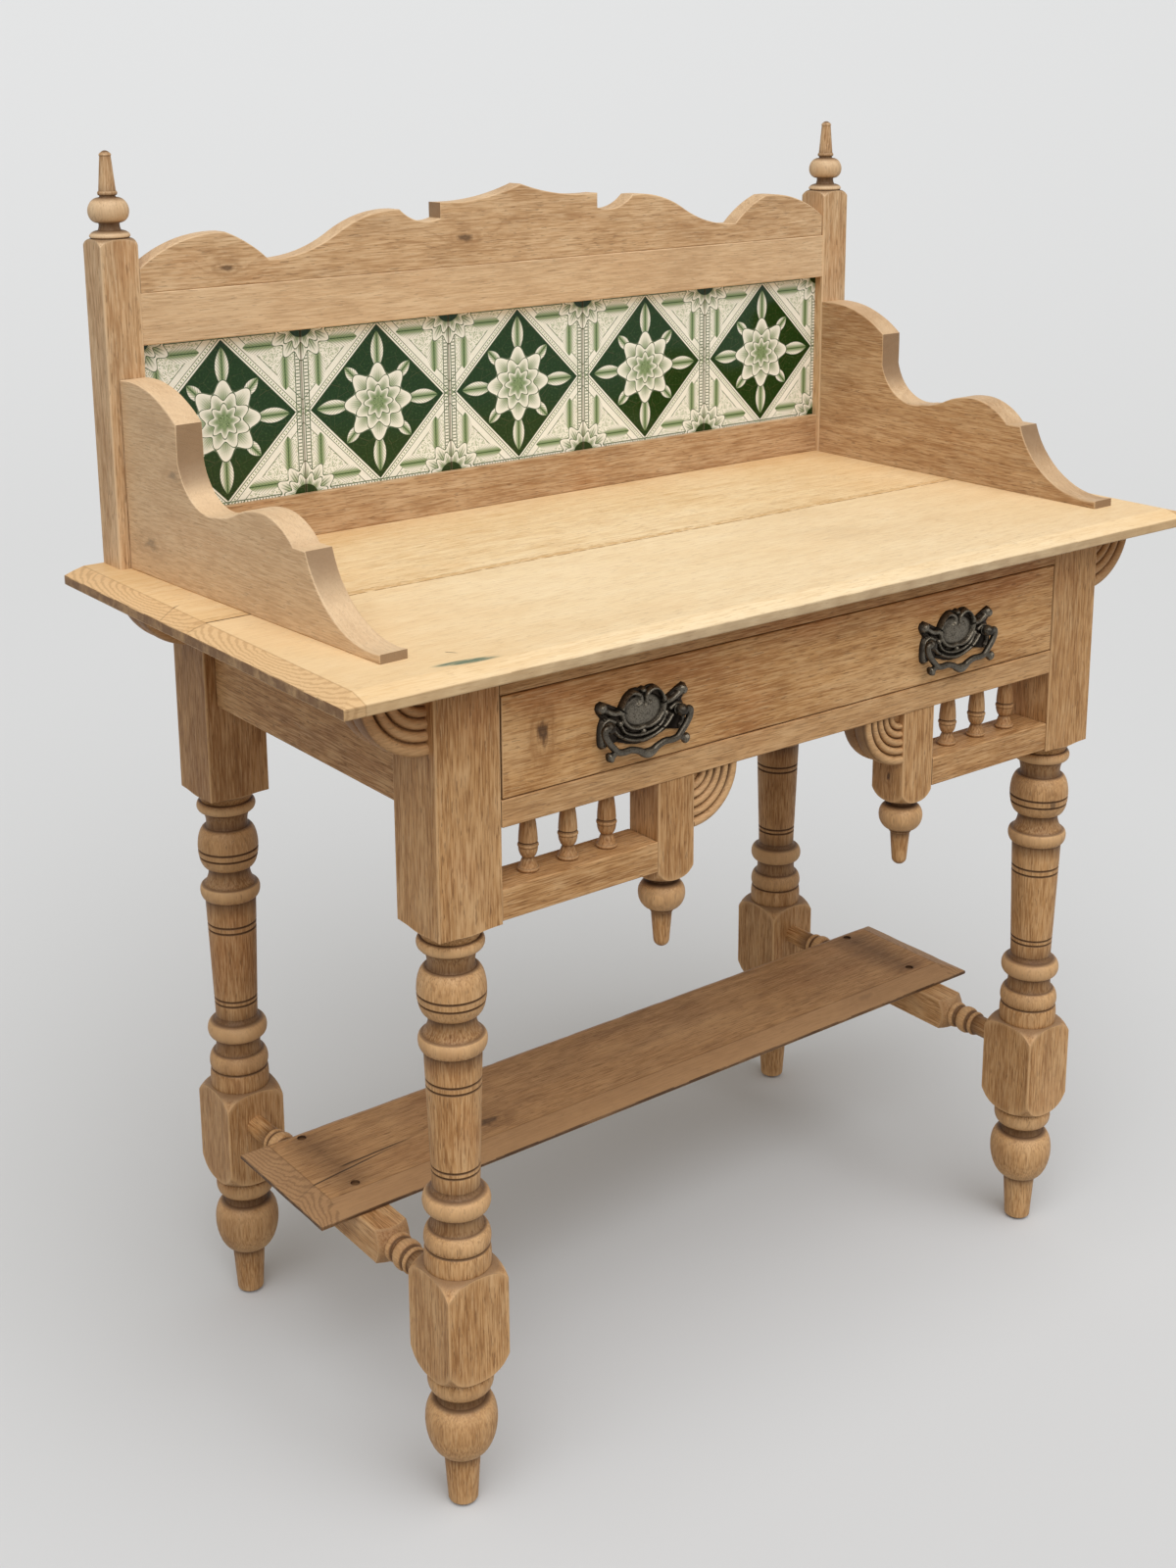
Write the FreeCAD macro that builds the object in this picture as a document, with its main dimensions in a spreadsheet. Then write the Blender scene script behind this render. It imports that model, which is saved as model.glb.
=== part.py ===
"""A pine washstand with a tiled upstand, one drawer with drop handles, turned legs and an undershelf.

Lengths are in millimetres. X runs along the front, Y from front to back and Z up. The origin is on the
floor under the centre of the top. Every size in the sheet can be changed by itself, and what seats on it,
passes through it or lines up with it follows.
"""

import FreeCAD
import Part
import math
import os
import Sketcher

DOC = FreeCAD.newDocument("Washstand")
SHEET = DOC.addObject("Spreadsheet::Sheet", "Sizes")

SIZES = {
    "Top": {
        "top_depth": 444,
        "top_height": 700,
        "top_thickness": 13.5,
        "top_end_margin": 35,
        "top_bevel": 17,
        "top_bevel_drop": 5,
        "front_board_width": 225,
    },
    "Underframe": {
        "end_overhang": 91,
        "front_overhang": 33,
        "rear_overhang": 6,
        "rail_thickness": 22,
        "side_rail_height": 110,
        "rail_setback": 10,
        "front_rail_height": 20.5,
        "front_rail_depth": 40,
        "drawer_opening": 79,
        "drawer_rail_height": 21,
        "tenon_length": 20,
        "tenon_thickness": 10,
        "tenon_shoulder": 5,
    },
    "Leg": {
        "leg_size": 56,
        "block_margin": 1.5,
        "leg_slope": 9.5,
        "leg_ring": 10,
        "leg_ring_radius": 25.5,
        "leg_neck": 14.5,
        "leg_neck_radius": 18.7,
        "leg_ball": 38,
        "leg_ball_radius": 26.3,
        "leg_waist": 16,
        "leg_waist_radius": 19.5,
        "leg_flare": 13,
        "leg_flare_radius": 26.1,
        "column_top_radius": 22.2,
        "column_foot_radius": 18.5,
        "low_ring": 21,
        "low_ring_radius": 26.4,
        "low_neck": 14,
        "low_neck_radius": 20,
        "torus": 16,
        "torus_radius": 26,
        "collar": 17,
        "collar_radius": 26,
        "lower_slope": 25,
        "lower_block": 32,
        "lower_bullnose": 34,
        "foot_ring": 17,
        "foot_ring_radius": 26.1,
        "foot_neck": 9,
        "foot_neck_radius": 20,
        "foot_ball": 48,
        "foot_ball_radius": 26.7,
        "peg_length": 46,
        "peg_top_radius": 14.5,
        "peg_foot_radius": 11.5,
        "bead_ease": 3.5,
        "bead_sink": 3.5,
    },
    "Lower gallery": {
        "spindle_height": 47.5,
        "gallery_rail_height": 25,
        "gallery_rail_setback": 1,
        "pendant_size": 36,
        "pendant_centre": 134,
        "pendant_block_rise": 6.5,
        "pendant_bullnose": 19,
        "pendant_neck": 3,
        "pendant_neck_radius": 10.5,
        "pendant_ball": 24,
        "pendant_ball_radius": 17.5,
        "pendant_spike": 33,
        "pendant_spike_radius": 8.5,
        "pendant_tip_radius": 5.5,
        "stub_tenon": 12,
        "spindle_spacing": 37,
        "spindle_radius": 8.5,
    },
    "Fan brackets": {
        "fan_radius": 56,
        "pendant_fan_radius": 46,
        "fan_thickness": 35,
        "pendant_fan_thickness": 29,
        "fan_setback": 7,
        "fan_ring_relief": 3,
        "fan_dish": 4.5,
    },
    "Upstand": {
        "post_size": 33,
        "post_reveal": 12.5,
        "post_slope": 12,
        "post_flange": 6,
        "post_flange_radius": 15.9,
        "post_neck": 6.5,
        "post_neck_radius": 9.2,
        "post_ball": 20,
        "post_ball_radius": 15.8,
        "spike": 36,
        "spike_radius": 7.2,
        "spike_tip_radius": 4,
        "post_tenon": 16,
        "low_rail_height": 38,
        "low_rail_recess": 5,
        "high_rail_height": 42,
        "high_rail_recess": 0.8,
        "upstand_tenon": 12,
        "tile_size": 152,
        "tile_joint": 0.4,
        "tile_thickness": 9,
        "tile_recess": 10.4,
        "tile_lap": 4.25,
        "tile_side_lap": 2.3,
        "tile_edge": 1.2,
        "backboard_thickness": 8,
    },
    "Cresting": {
        "crest_thickness": 19,
        "crest_recess": 1.6,
        "crest_end_gap": 0.5,
        "crest_end_height": 20,
        "crest_lobe_height": 44.5,
        "crest_valley_height": 19,
        "crest_hump_height": 53.5,
        "crest_step_height": 43.5,
        "crest_shoulder_height": 57,
        "crest_peak_height": 69.5,
        "crest_lobe_place": 300,
        "crest_valley_place": 260,
        "crest_hump_place": 130,
        "crest_step_place": 88,
    },
    "Side galleries": {
        "side_gallery_thickness": 24,
        "side_gallery_length": 355,
        "side_gallery_back": 156,
        "side_gallery_shoulder": 131,
        "side_gallery_step": 101,
        "side_gallery_valley": 67.5,
        "side_gallery_hump": 82,
        "side_gallery_ledge": 63.5,
        "side_gallery_tip": 7,
        "shoulder_reach": 87,
        "valley_reach": 141,
        "hump_reach": 201,
        "ledge_reach": 249,
        "ledge_width": 16,
        "left_gallery_swing": 3,
        "gallery_tenon_depth": 9,
        "gallery_tenon_thickness": 10,
        "gallery_tenon_width": 34,
        "rear_tenon_reach": 50,
        "front_tenon_reach": 225,
    },
    "Drawer": {
        "drawer_gap": 1,
        "running_gap": 0.3,
        "drawer_rear_gap": 23,
        "drawer_front_thickness": 20,
        "drawer_side_thickness": 10,
        "drawer_side_drop": 4.7,
        "drawer_back_thickness": 9,
        "drawer_back_drop": 8,
        "drawer_bottom_thickness": 6,
        "drawer_bottom_rise": 10,
        "drawer_groove": 4,
        "tail_length": 13,
        "tail_root": 20,
        "tail_end": 26,
        "runner_height": 18,
        "runner_ledge": 20,
        "guide_height": 22,
        "stop_length": 30,
        "stop_width": 12,
        "stop_height": 6,
        "stop_place": 200,
        "block_length": 60,
        "block_size": 20,
        "block_place": 160,
    },
    "Handles": {
        "handle_place": 171,
        "handle_rise": 32,
        "plate_thickness": 2.5,
        "plate_ear_place": 39,
        "plate_ear_height": 19.5,
        "plate_ear_size": 4,
        "plate_waist": 40,
        "plate_heart_width": 21,
        "plate_heart_height": 24.5,
        "plate_drop": 16,
        "boss_relief": 4,
        "stud_place": 35,
        "stud_rise": 4,
        "stud_size": 5,
        "eye_reach": 9,
        "eye_size": 7,
        "pin_clearance": 0.35,
        "bail_radius": 2.4,
        "bail_pin_radius": 1.6,
        "bail_gap": 0.6,
        "bail_drop": 21,
        "bail_corner": 5,
        "bail_rise": 4,
        "bail_dip": 5,
        "nut_size": 10,
        "nut_height": 4,
    },
    "Undershelf": {
        "shelf_overhang": 22,
        "shelf_width": 136,
        "shelf_thickness": 11,
        "shelf_bevel": 21,
        "shelf_bevel_drop": 7,
        "shelf_setback": 14.5,
        "stretcher_rise": 24.5,
        "stretcher_size": 30,
        "stretcher_block": 152,
        "stretcher_slope": 9,
        "stretcher_ring": 12,
        "stretcher_ring_radius": 13,
        "stretcher_neck": 9,
        "stretcher_neck_radius": 9,
        "stretcher_pin": 18,
        "screw_radius": 3,
        "screw_length": 26,
        "screw_sink": 2.5,
        "screw_front_inset": 30,
        "screw_rear_inset": 18,
    },
}


class Term:
    """A number worked out from the sheet, with the expression that gives it."""

    def __init__(self, text, value):
        self.text = text
        self.value = value

    def __neg__(self):
        return Term(f"(0 - {self.text})", -self.value)

    def __add__(self, other):
        return combine(self, "+", other)

    def __radd__(self, other):
        return combine(other, "+", self)

    def __sub__(self, other):
        return combine(self, "-", other)

    def __rsub__(self, other):
        return combine(other, "-", self)

    def __mul__(self, other):
        return combine(self, "*", other)

    def __rmul__(self, other):
        return combine(other, "*", self)

    def __truediv__(self, other):
        return combine(self, "/", other)


OPERATIONS = {
    "+": lambda a, b: a + b,
    "-": lambda a, b: a - b,
    "*": lambda a, b: a * b,
    "/": lambda a, b: a / b,
}


def term(number):
    """A plain number as a Term, or a Term as it is."""
    if isinstance(number, Term):
        return number
    return Term(repr(float(number)), float(number))


def combine(first, sign, second):
    """One arithmetic step on two Terms or numbers."""
    a = term(first)
    b = term(second)
    return Term(f"({a.text} {sign} {b.text})", OPERATIONS[sign](a.value, b.value))


class Sizes:
    """The sheet's cells as Terms, by alias."""


def fill_sheet():
    """Put each size in its own aliased cell and return the cells as Terms."""
    sizes = Sizes()
    row = 1
    for group, members in SIZES.items():
        SHEET.set(f"A{row}", group)
        row += 1
        for alias, number in members.items():
            SHEET.set(f"A{row}", alias.replace("_", " "))
            SHEET.set(f"B{row}", str(number))
            SHEET.setAlias(f"B{row}", alias)
            setattr(sizes, alias, Term(f"Sizes.{alias}", float(number)))
            row += 1
    DOC.recompute()
    return sizes


S = fill_sheet()


# Places shared by several pieces

TILE_COUNT = 5
TILE_PITCH = S.tile_size + S.tile_joint
PANEL_HALF = (TILE_PITCH * TILE_COUNT - S.tile_joint) / 2
POST_INNER = PANEL_HALF - S.tile_side_lap
POST_AXIS = POST_INNER + S.post_size / 2
TOP_HALF = POST_INNER + S.post_size + S.top_end_margin
REAR_EDGE = S.top_depth / 2
SEAM = S.front_board_width - REAR_EDGE
UNDER_TOP = S.top_height - S.top_thickness
FRONT = S.front_overhang - REAR_EDGE
REAR = REAR_EDGE - S.rear_overhang
MIDDLE = (FRONT + REAR) / 2
LEG_OUTER = TOP_HALF - S.end_overhang
LEG_INNER = LEG_OUTER - S.leg_size
LEG_AXIS = LEG_OUTER - S.leg_size / 2
LEG_BACK = FRONT + S.leg_size
REAR_LEG_FRONT = REAR - S.leg_size
SIDE_RAIL_OUTER = LEG_OUTER - S.rail_setback
SIDE_RAIL_INNER = SIDE_RAIL_OUTER - S.rail_thickness
SIDE_RAIL_BOTTOM = UNDER_TOP - S.side_rail_height
BACK_RAIL_FRONT = REAR - S.rail_setback - S.rail_thickness
OPENING_TOP = UNDER_TOP - S.front_rail_height
OPENING_BOTTOM = OPENING_TOP - S.drawer_opening
DRAWER_RAIL_BOTTOM = OPENING_BOTTOM - S.drawer_rail_height
FRONT_RAIL_BACK = FRONT + S.front_rail_depth
GALLERY_RAIL_TOP = DRAWER_RAIL_BOTTOM - S.spindle_height
GALLERY_RAIL_BOTTOM = GALLERY_RAIL_TOP - S.gallery_rail_height
GALLERY_RAIL_FRONT = FRONT + S.gallery_rail_setback
PENDANT_OUTER = S.pendant_centre + S.pendant_size / 2
PENDANT_INNER = S.pendant_centre - S.pendant_size / 2
PENDANT_AXIS_Y = GALLERY_RAIL_FRONT + S.pendant_size / 2
POST_FRONT = REAR_EDGE - S.post_size
TILE_FACE = POST_FRONT + S.tile_recess
TILE_BACK = TILE_FACE + S.tile_thickness
PANEL_BACK = TILE_BACK + S.backboard_thickness
LOW_RAIL_TOP = S.top_height + S.low_rail_height
TILE_BOTTOM = LOW_RAIL_TOP - S.tile_lap
TILE_TOP = TILE_BOTTOM + S.tile_size
HIGH_RAIL_BOTTOM = TILE_TOP - S.tile_lap
HIGH_RAIL_TOP = HIGH_RAIL_BOTTOM + S.high_rail_height
BLOCK_FOOT = S.peg_length + S.foot_ball + S.foot_neck + S.foot_ring + S.lower_bullnose
STRETCHER_AXIS = BLOCK_FOOT + S.stretcher_rise
SHELF_UNDER = STRETCHER_AXIS + S.stretcher_size / 2
SHELF_TOP = SHELF_UNDER + S.shelf_thickness
SHELF_FRONT = MIDDLE + S.shelf_setback - S.shelf_width / 2
SHELF_REAR = SHELF_FRONT + S.shelf_width
DRAWER_BACK_FACE = FRONT + S.drawer_front_thickness
DRAWER_OUTER = LEG_INNER - S.drawer_gap
DRAWER_INNER = DRAWER_OUTER - S.drawer_side_thickness
DRAWER_END = BACK_RAIL_FRONT - S.drawer_rear_gap
DRAWER_BACK_REAR = DRAWER_END - S.drawer_back_thickness
SIDE_FOOT = OPENING_BOTTOM + S.running_gap
SIDE_TOP = OPENING_TOP - S.drawer_side_drop
PANEL_UNDER = SIDE_FOOT + S.drawer_bottom_rise
PANEL_OVER = PANEL_UNDER + S.drawer_bottom_thickness
HANDLE_Z = OPENING_BOTTOM + S.drawer_gap + S.handle_rise
HINGE_Y = FRONT - S.eye_reach
HINGE_Z = HANDLE_Z + S.stud_rise
SIDES = {"left": -1, "right": 1}

# Shares of a square's width: the radius that clears its corners, and a rounded end's radius half way down.
CLEAR = 0.75
BULLNOSE = 0.65

# The share of the lower block's slope in which it swells out to the bullnose radius.
SWELL_LENGTH = 0.3

# A ball's shoulders as a share of its radius, and the shares of its length that its tapers take.
SHOULDER = 0.92
SHOULDER_LENGTH = 0.2
CROWN_LENGTH = 0.3

# A spindle's tapers from its cap down, as shares of its radius and of its height.
SPINDLE_RUNS = ((0.8, 0), (0.5, 0.2), (1, 0.38), (0.55, 0.1), (0.95, 0.07), (0.55, 0.09), (1, 0.16))

# The middles of a drawer side's two tails, as shares of its height.
TAIL_PLACES = (0.3, 0.72)

FAN_RINGS = 4
FAN_CORE = 0.3
BAIL_SIDES = 8

NODES = {}


def node(name, piece):
    """Name a finished piece; the name is also its file's."""
    piece.Label = name
    NODES[name] = piece
    return piece


# Solids from boxes, cylinders and booleans


def bind(piece, **terms):
    """Bind properties of a piece to expressions."""
    for key, number in terms.items():
        piece.setExpression(key, term(number).text)
    return piece


def place(piece, x, y, z):
    """Bind a piece's place."""
    for axis, number in zip("xyz", (x, y, z)):
        piece.setExpression(f"Placement.Base.{axis}", term(number).text)
    return piece


def turn(piece, axis, degrees):
    """Turn a piece about its own origin."""
    piece.Placement = FreeCAD.Placement(FreeCAD.Vector(), FreeCAD.Rotation(FreeCAD.Vector(*axis), degrees))
    return piece


def box(name, low, high):
    """A box between two corners."""
    piece = DOC.addObject("Part::Box", name)
    long, wide, high_z = (term(b) - term(a) for a, b in zip(low, high))
    bind(piece, Length=long, Width=wide, Height=high_z)
    return place(piece, *low)


def mirrored_box(name, side, low, high):
    """A box given for the right-hand side, or its twin across the middle."""
    if side > 0:
        return box(name, low, high)
    return box(name, (-term(high[0]), low[1], low[2]), (-term(low[0]), high[1], high[2]))


def cylinder(name, radius, height):
    """A cylinder that stands on its origin."""
    return bind(DOC.addObject("Part::Cylinder", name), Radius=radius, Height=height)


def fuse(name, pieces):
    """Several solids grown into one."""
    piece = DOC.addObject("Part::MultiFuse", name)
    piece.Shapes = pieces
    piece.Refine = True
    return piece


def group(name, pieces):
    """Several separate solids in one node."""
    piece = DOC.addObject("Part::Compound", name)
    piece.Links = pieces
    return piece


def cut(name, base, tools):
    """A solid less what is housed in it."""
    piece = DOC.addObject("Part::Cut", name)
    piece.Base = base
    piece.Tool = tools[0] if len(tools) == 1 else group(f"{name}_housing", tools)
    return piece


# Sketched solids


def sketch_on(body, role, name):
    """An empty sketch on one of a body's own origin planes."""
    sketch = body.newObject("Sketcher::SketchObject", name)
    support = [feature for feature in body.Origin.OriginFeatures if feature.Role == role]
    sketch.AttachmentSupport = [(support[0], "")]
    sketch.MapMode = "FlatFace"
    return sketch


def run_between(start, end, bulge):
    """A straight run, or the arc whose sagitta is bulge times half its chord (positive turns left)."""
    a = FreeCAD.Vector(start[0].value, start[1].value, 0)
    b = FreeCAD.Vector(end[0].value, end[1].value, 0)
    if not bulge:
        return Part.LineSegment(a, b), False
    chord = b - a
    middle = (a + b) * 0.5 + FreeCAD.Vector(chord.y, -chord.x, 0) * (bulge / 2)
    return Part.Arc(a, middle, b), bulge < 0


def draw(sketch, stations, closed=True):
    """Draw an outline through stations (x, y) or (x, y, bulge of the run that follows)."""
    points = [(term(station[0]), term(station[1])) for station in stations]
    bulges = [station[2] if len(station) > 2 else 0 for station in stations]
    count = len(points) if closed else len(points) - 1
    first = sketch.GeometryCount
    ends = []
    for index in range(count):
        start = points[index]
        end = points[(index + 1) % len(points)]
        curve, reversed_run = run_between(start, end, bulges[index])
        sketch.addGeometry(curve, False)
        ends.append((2, 1) if reversed_run else (1, 2))
    for index in range(count if closed else count - 1):
        after = (index + 1) % count
        sketch.addConstraint(
            Sketcher.Constraint("Coincident", first + index, ends[index][1], first + after, ends[after][0])
        )
    for index, point in enumerate(points):
        edge, corner = (index, 0) if index < count else (index - 1, 1)
        for kind, number in zip(("DistanceX", "DistanceY"), point):
            pin = sketch.addConstraint(
                Sketcher.Constraint(kind, -1, 1, first + edge, ends[edge][corner], number.value)
            )
            sketch.setExpression(f"Constraints[{pin}]", number.text)
    for index in range(count):
        if bulges[index]:
            after = points[(index + 1) % len(points)]
            bind_radius(sketch, first + index, points[index], after, bulges[index])


def bind_radius(sketch, edge, start, end, bulge):
    """Keep an arc's bulge when its ends move."""
    share = (1 + bulge * bulge) / (4 * abs(bulge))
    across = end[0] - start[0]
    along = end[1] - start[1]
    chord = math.hypot(across.value, along.value)
    pin = sketch.addConstraint(Sketcher.Constraint("Radius", edge, chord * share))
    sketch.setExpression(f"Constraints[{pin}]", f"sqrt({across.text}^2 + {along.text}^2) * {share!r}")


def new_body(name):
    """An empty body."""
    return DOC.addObject("PartDesign::Body", name)


def pad(body, outlines, plane, thickness, name="Board", flipped=False):
    """Grow a sketched outline to a thickness, towards +Z, +Y or +X, or flipped to the other side."""
    sketch = sketch_on(body, plane, f"{body.Name}_{name}_outline")
    for stations in outlines:
        draw(sketch, stations)
    feature = body.newObject("PartDesign::Pad", f"{body.Name}_{name}")
    feature.Profile = sketch
    feature.Reversed = (plane == "XZ_Plane") != flipped
    return bind(feature, Length=thickness)


def square_stock(body, width, height):
    """Square stock about the Z axis."""
    half = width / 2
    corners = [(-half, -half), (half, -half), (half, half), (-half, half)]
    pad(body, [corners], "XY_Plane", height, "Stock")


def lathe(body, loops, name, plane="XZ_Plane", degrees=360, cuts=True):
    """Revolve outlines about the sketch's upright axis, to cut stock or to grow a solid."""
    sketch = sketch_on(body, plane, f"{body.Name}_{name}_outline")
    for stations in loops:
        draw(sketch, stations)
    kind = "PartDesign::Groove" if cuts else "PartDesign::Revolution"
    feature = body.newObject(kind, f"{body.Name}_{name}")
    feature.Profile = sketch
    feature.ReferenceAxis = (sketch, ["V_Axis"])
    feature.Angle = degrees
    return feature


class Turning:
    """A turned outline of straight tapers, followed from the top of the stock down."""

    def __init__(self, radius, height):
        self.height = term(height)
        self.stations = [(term(radius), self.height)]

    def run(self, radius, length=0):
        """Go down by a length to a radius."""
        self.height = self.height - length
        self.stations.append((term(radius), self.height))
        return self

    def ring(self, radius, length, rise=0):
        """Rise over a ring's eased edge and go along its band to where its lower edge turns in."""
        self.run(radius, S.bead_ease + rise)
        return self.run(radius, length - S.bead_ease * 2)

    def ball(self, radius, length, rise=0):
        """Rise from the hollow above a ball and go round its crown to where it turns in below."""
        self.run(radius * SHOULDER, length * SHOULDER_LENGTH + rise)
        self.run(radius, length * CROWN_LENGTH)
        return self.run(radius * SHOULDER, length * CROWN_LENGTH)

    def turned_end_for_end(self, total):
        """The same outline at the other end of stock of a given length."""
        return [(radius, total - height) for radius, height in self.stations]


# Legs


def leg_blank(name):
    """One leg: square stock turned to a column and a foot, which leaves two blocks with shaped shoulders."""
    body = new_body(name)
    square_stock(body, S.leg_size, UNDER_TOP)
    clear = S.leg_size * CLEAR

    column = Turning(clear, GALLERY_RAIL_BOTTOM - S.block_margin)
    column.run(S.leg_ring_radius - S.bead_sink, S.leg_slope)
    column.ring(S.leg_ring_radius, S.leg_ring)
    column.run(S.leg_neck_radius, S.bead_ease + S.leg_neck / 2)
    column.ball(S.leg_ball_radius, S.leg_ball, S.leg_neck / 2)
    column.run(S.leg_waist_radius, S.leg_ball * SHOULDER_LENGTH + S.leg_waist / 2)
    column.run(S.leg_flare_radius, S.leg_waist / 2 + S.leg_flare / 2)
    column.run(S.column_top_radius, S.leg_flare / 2)
    block_top = BLOCK_FOOT + S.lower_block + S.lower_slope
    column_foot = block_top + S.collar + S.torus + S.low_neck + S.low_ring
    column.run(S.column_foot_radius, column.height - column_foot)
    column.ring(S.low_ring_radius, S.low_ring)
    column.run(S.low_neck_radius, S.bead_ease + S.low_neck / 2)
    column.ring(S.torus_radius, S.torus, S.low_neck / 2)
    column.run(S.collar_radius - S.bead_sink, S.bead_ease)
    column.run(S.collar_radius, S.bead_ease)
    column.run(S.collar_radius, S.collar - S.bead_ease)
    column.run(S.leg_size * BULLNOSE, S.lower_slope * SWELL_LENGTH)
    column.run(clear, S.lower_slope * (1 - SWELL_LENGTH))
    lathe(body, [column.stations], "Column")

    foot = Turning(clear, BLOCK_FOOT)
    foot.run(S.leg_size * BULLNOSE, S.lower_bullnose / 2)
    foot.run(S.foot_ring_radius - S.bead_sink, S.lower_bullnose / 2)
    foot.ring(S.foot_ring_radius, S.foot_ring)
    foot.run(S.foot_neck_radius, S.bead_ease + S.foot_neck / 2)
    foot.ball(S.foot_ball_radius, S.foot_ball, S.foot_neck / 2)
    foot.run(S.peg_top_radius, S.foot_ball * SHOULDER_LENGTH)
    foot.run(S.peg_foot_radius, S.peg_length)
    foot.run(clear)
    lathe(body, [foot.stations], "Foot")
    return body


# Rails of the underframe


def tenoned_rail(name, low, high, axis, tongue):
    """A rail with a tongue at each end along an axis; tongue gives its section's low and high corners."""
    pieces = [box(f"{name}_rail", low, high)]
    ends = ((low[axis] - S.tenon_length, low[axis]), (high[axis], high[axis] + S.tenon_length))
    for index, (start, stop) in enumerate(ends):
        first = list(tongue[0])
        last = list(tongue[1])
        first.insert(axis, start)
        last.insert(axis, stop)
        pieces.append(box(f"{name}_tenon_{index}", first, last))
    return fuse(name, pieces)


def side_rail(name, side):
    """A side rail between a front leg and a rear leg."""
    outer = SIDE_RAIL_OUTER * side
    inner = SIDE_RAIL_INNER * side
    near, far = (inner, outer) if side > 0 else (outer, inner)
    middle = (near + far) / 2
    tongue = (
        (middle - S.tenon_thickness / 2, SIDE_RAIL_BOTTOM + S.tenon_shoulder),
        (middle + S.tenon_thickness / 2, UNDER_TOP - S.tenon_shoulder),
    )
    low = (near, LEG_BACK, SIDE_RAIL_BOTTOM)
    return tenoned_rail(name, low, (far, REAR_LEG_FRONT, UNDER_TOP), 1, tongue)


def back_rail():
    """The rail between the rear legs."""
    middle = BACK_RAIL_FRONT + S.rail_thickness / 2
    tongue = (
        (middle - S.tenon_thickness / 2, SIDE_RAIL_BOTTOM + S.tenon_shoulder),
        (middle + S.tenon_thickness / 2, UNDER_TOP - S.tenon_shoulder),
    )
    low = (-LEG_INNER, BACK_RAIL_FRONT, SIDE_RAIL_BOTTOM)
    return tenoned_rail("back_rail", low, (LEG_INNER, REAR - S.rail_setback, UNDER_TOP), 0, tongue)


def front_rail(name, bottom, top):
    """A flat rail above or below the drawer, flush with the front legs."""
    middle = FRONT + S.front_rail_depth / 2
    tongue = (
        (middle - S.tenon_thickness, bottom + S.tenon_shoulder),
        (middle + S.tenon_thickness, top - S.tenon_shoulder),
    )
    low = (-LEG_INNER, FRONT, bottom)
    return tenoned_rail(name, low, (LEG_INNER, FRONT_RAIL_BACK, top), 0, tongue)


def gallery_rail(name, side):
    """The short rail under the spindles, tenoned into the front leg and the pendant."""
    back = GALLERY_RAIL_FRONT + S.pendant_size
    rail = mirrored_box(
        f"{name}_rail",
        side,
        (PENDANT_OUTER, GALLERY_RAIL_FRONT, GALLERY_RAIL_BOTTOM),
        (LEG_INNER, back, GALLERY_RAIL_TOP),
    )
    half = S.tenon_thickness / 2
    tongue = mirrored_box(
        f"{name}_tenon",
        side,
        (PENDANT_OUTER - S.stub_tenon, PENDANT_AXIS_Y - half, GALLERY_RAIL_BOTTOM + S.tenon_shoulder),
        (LEG_INNER + S.stub_tenon, PENDANT_AXIS_Y + half, GALLERY_RAIL_TOP - S.tenon_shoulder),
    )
    return fuse(name, [rail, tongue])


def pendant_blank(name, side):
    """A square pendant with a rounded end, a turned drop, and a stub tenon into the drawer rail."""
    body = new_body(name)
    block = DRAWER_RAIL_BOTTOM - GALLERY_RAIL_BOTTOM - S.pendant_block_rise
    hang = block + S.pendant_bullnose + S.pendant_neck + S.pendant_ball + S.pendant_spike
    square_stock(body, S.pendant_size, hang)
    clear = S.pendant_size * CLEAR
    drop = Turning(clear, hang - block)
    drop.run(S.pendant_size * BULLNOSE, S.pendant_bullnose / 2)
    drop.run(S.pendant_neck_radius, S.pendant_bullnose / 2 + S.pendant_neck / 2)
    drop.ball(S.pendant_ball_radius, S.pendant_ball, S.pendant_neck / 2)
    drop.run(S.pendant_spike_radius, S.pendant_ball * SHOULDER_LENGTH)
    drop.run(S.pendant_tip_radius, S.pendant_spike)
    drop.run(clear)
    lathe(body, [drop.stations], "Drop")
    place(body, S.pendant_centre * side, PENDANT_AXIS_Y, DRAWER_RAIL_BOTTOM - hang)
    half = S.tenon_thickness / 2
    tongue = box(
        f"{name}_tenon",
        (S.pendant_centre * side - half, PENDANT_AXIS_Y - half, DRAWER_RAIL_BOTTOM),
        (S.pendant_centre * side + half, PENDANT_AXIS_Y + half, DRAWER_RAIL_BOTTOM + S.stub_tenon),
    )
    return fuse(f"{name}_whole", [body, tongue])


def spindle(name, x):
    """A small turned spindle: flared cap, vase, ring and spreading foot."""
    body = new_body(name)
    tall = S.spindle_height
    wide = S.spindle_radius
    outline = Turning(0, tall)
    for radius_share, length_share in SPINDLE_RUNS:
        outline.run(wide * radius_share, tall * length_share)
    outline.run(0)
    lathe(body, [outline.stations], "Turning", cuts=False)
    return place(body, x, PENDANT_AXIS_Y, GALLERY_RAIL_TOP)


def spindles(side):
    """Three spindles of one lower gallery."""
    middle = (LEG_INNER + PENDANT_OUTER) / 2
    pieces = []
    for index in (-1, 0, 1):
        x = (middle + S.spindle_spacing * index) * side
        pieces.append(spindle(f"spindle_{index + 1}_{'left' if side < 0 else 'right'}", x))
    return pieces


# Fan brackets


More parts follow.
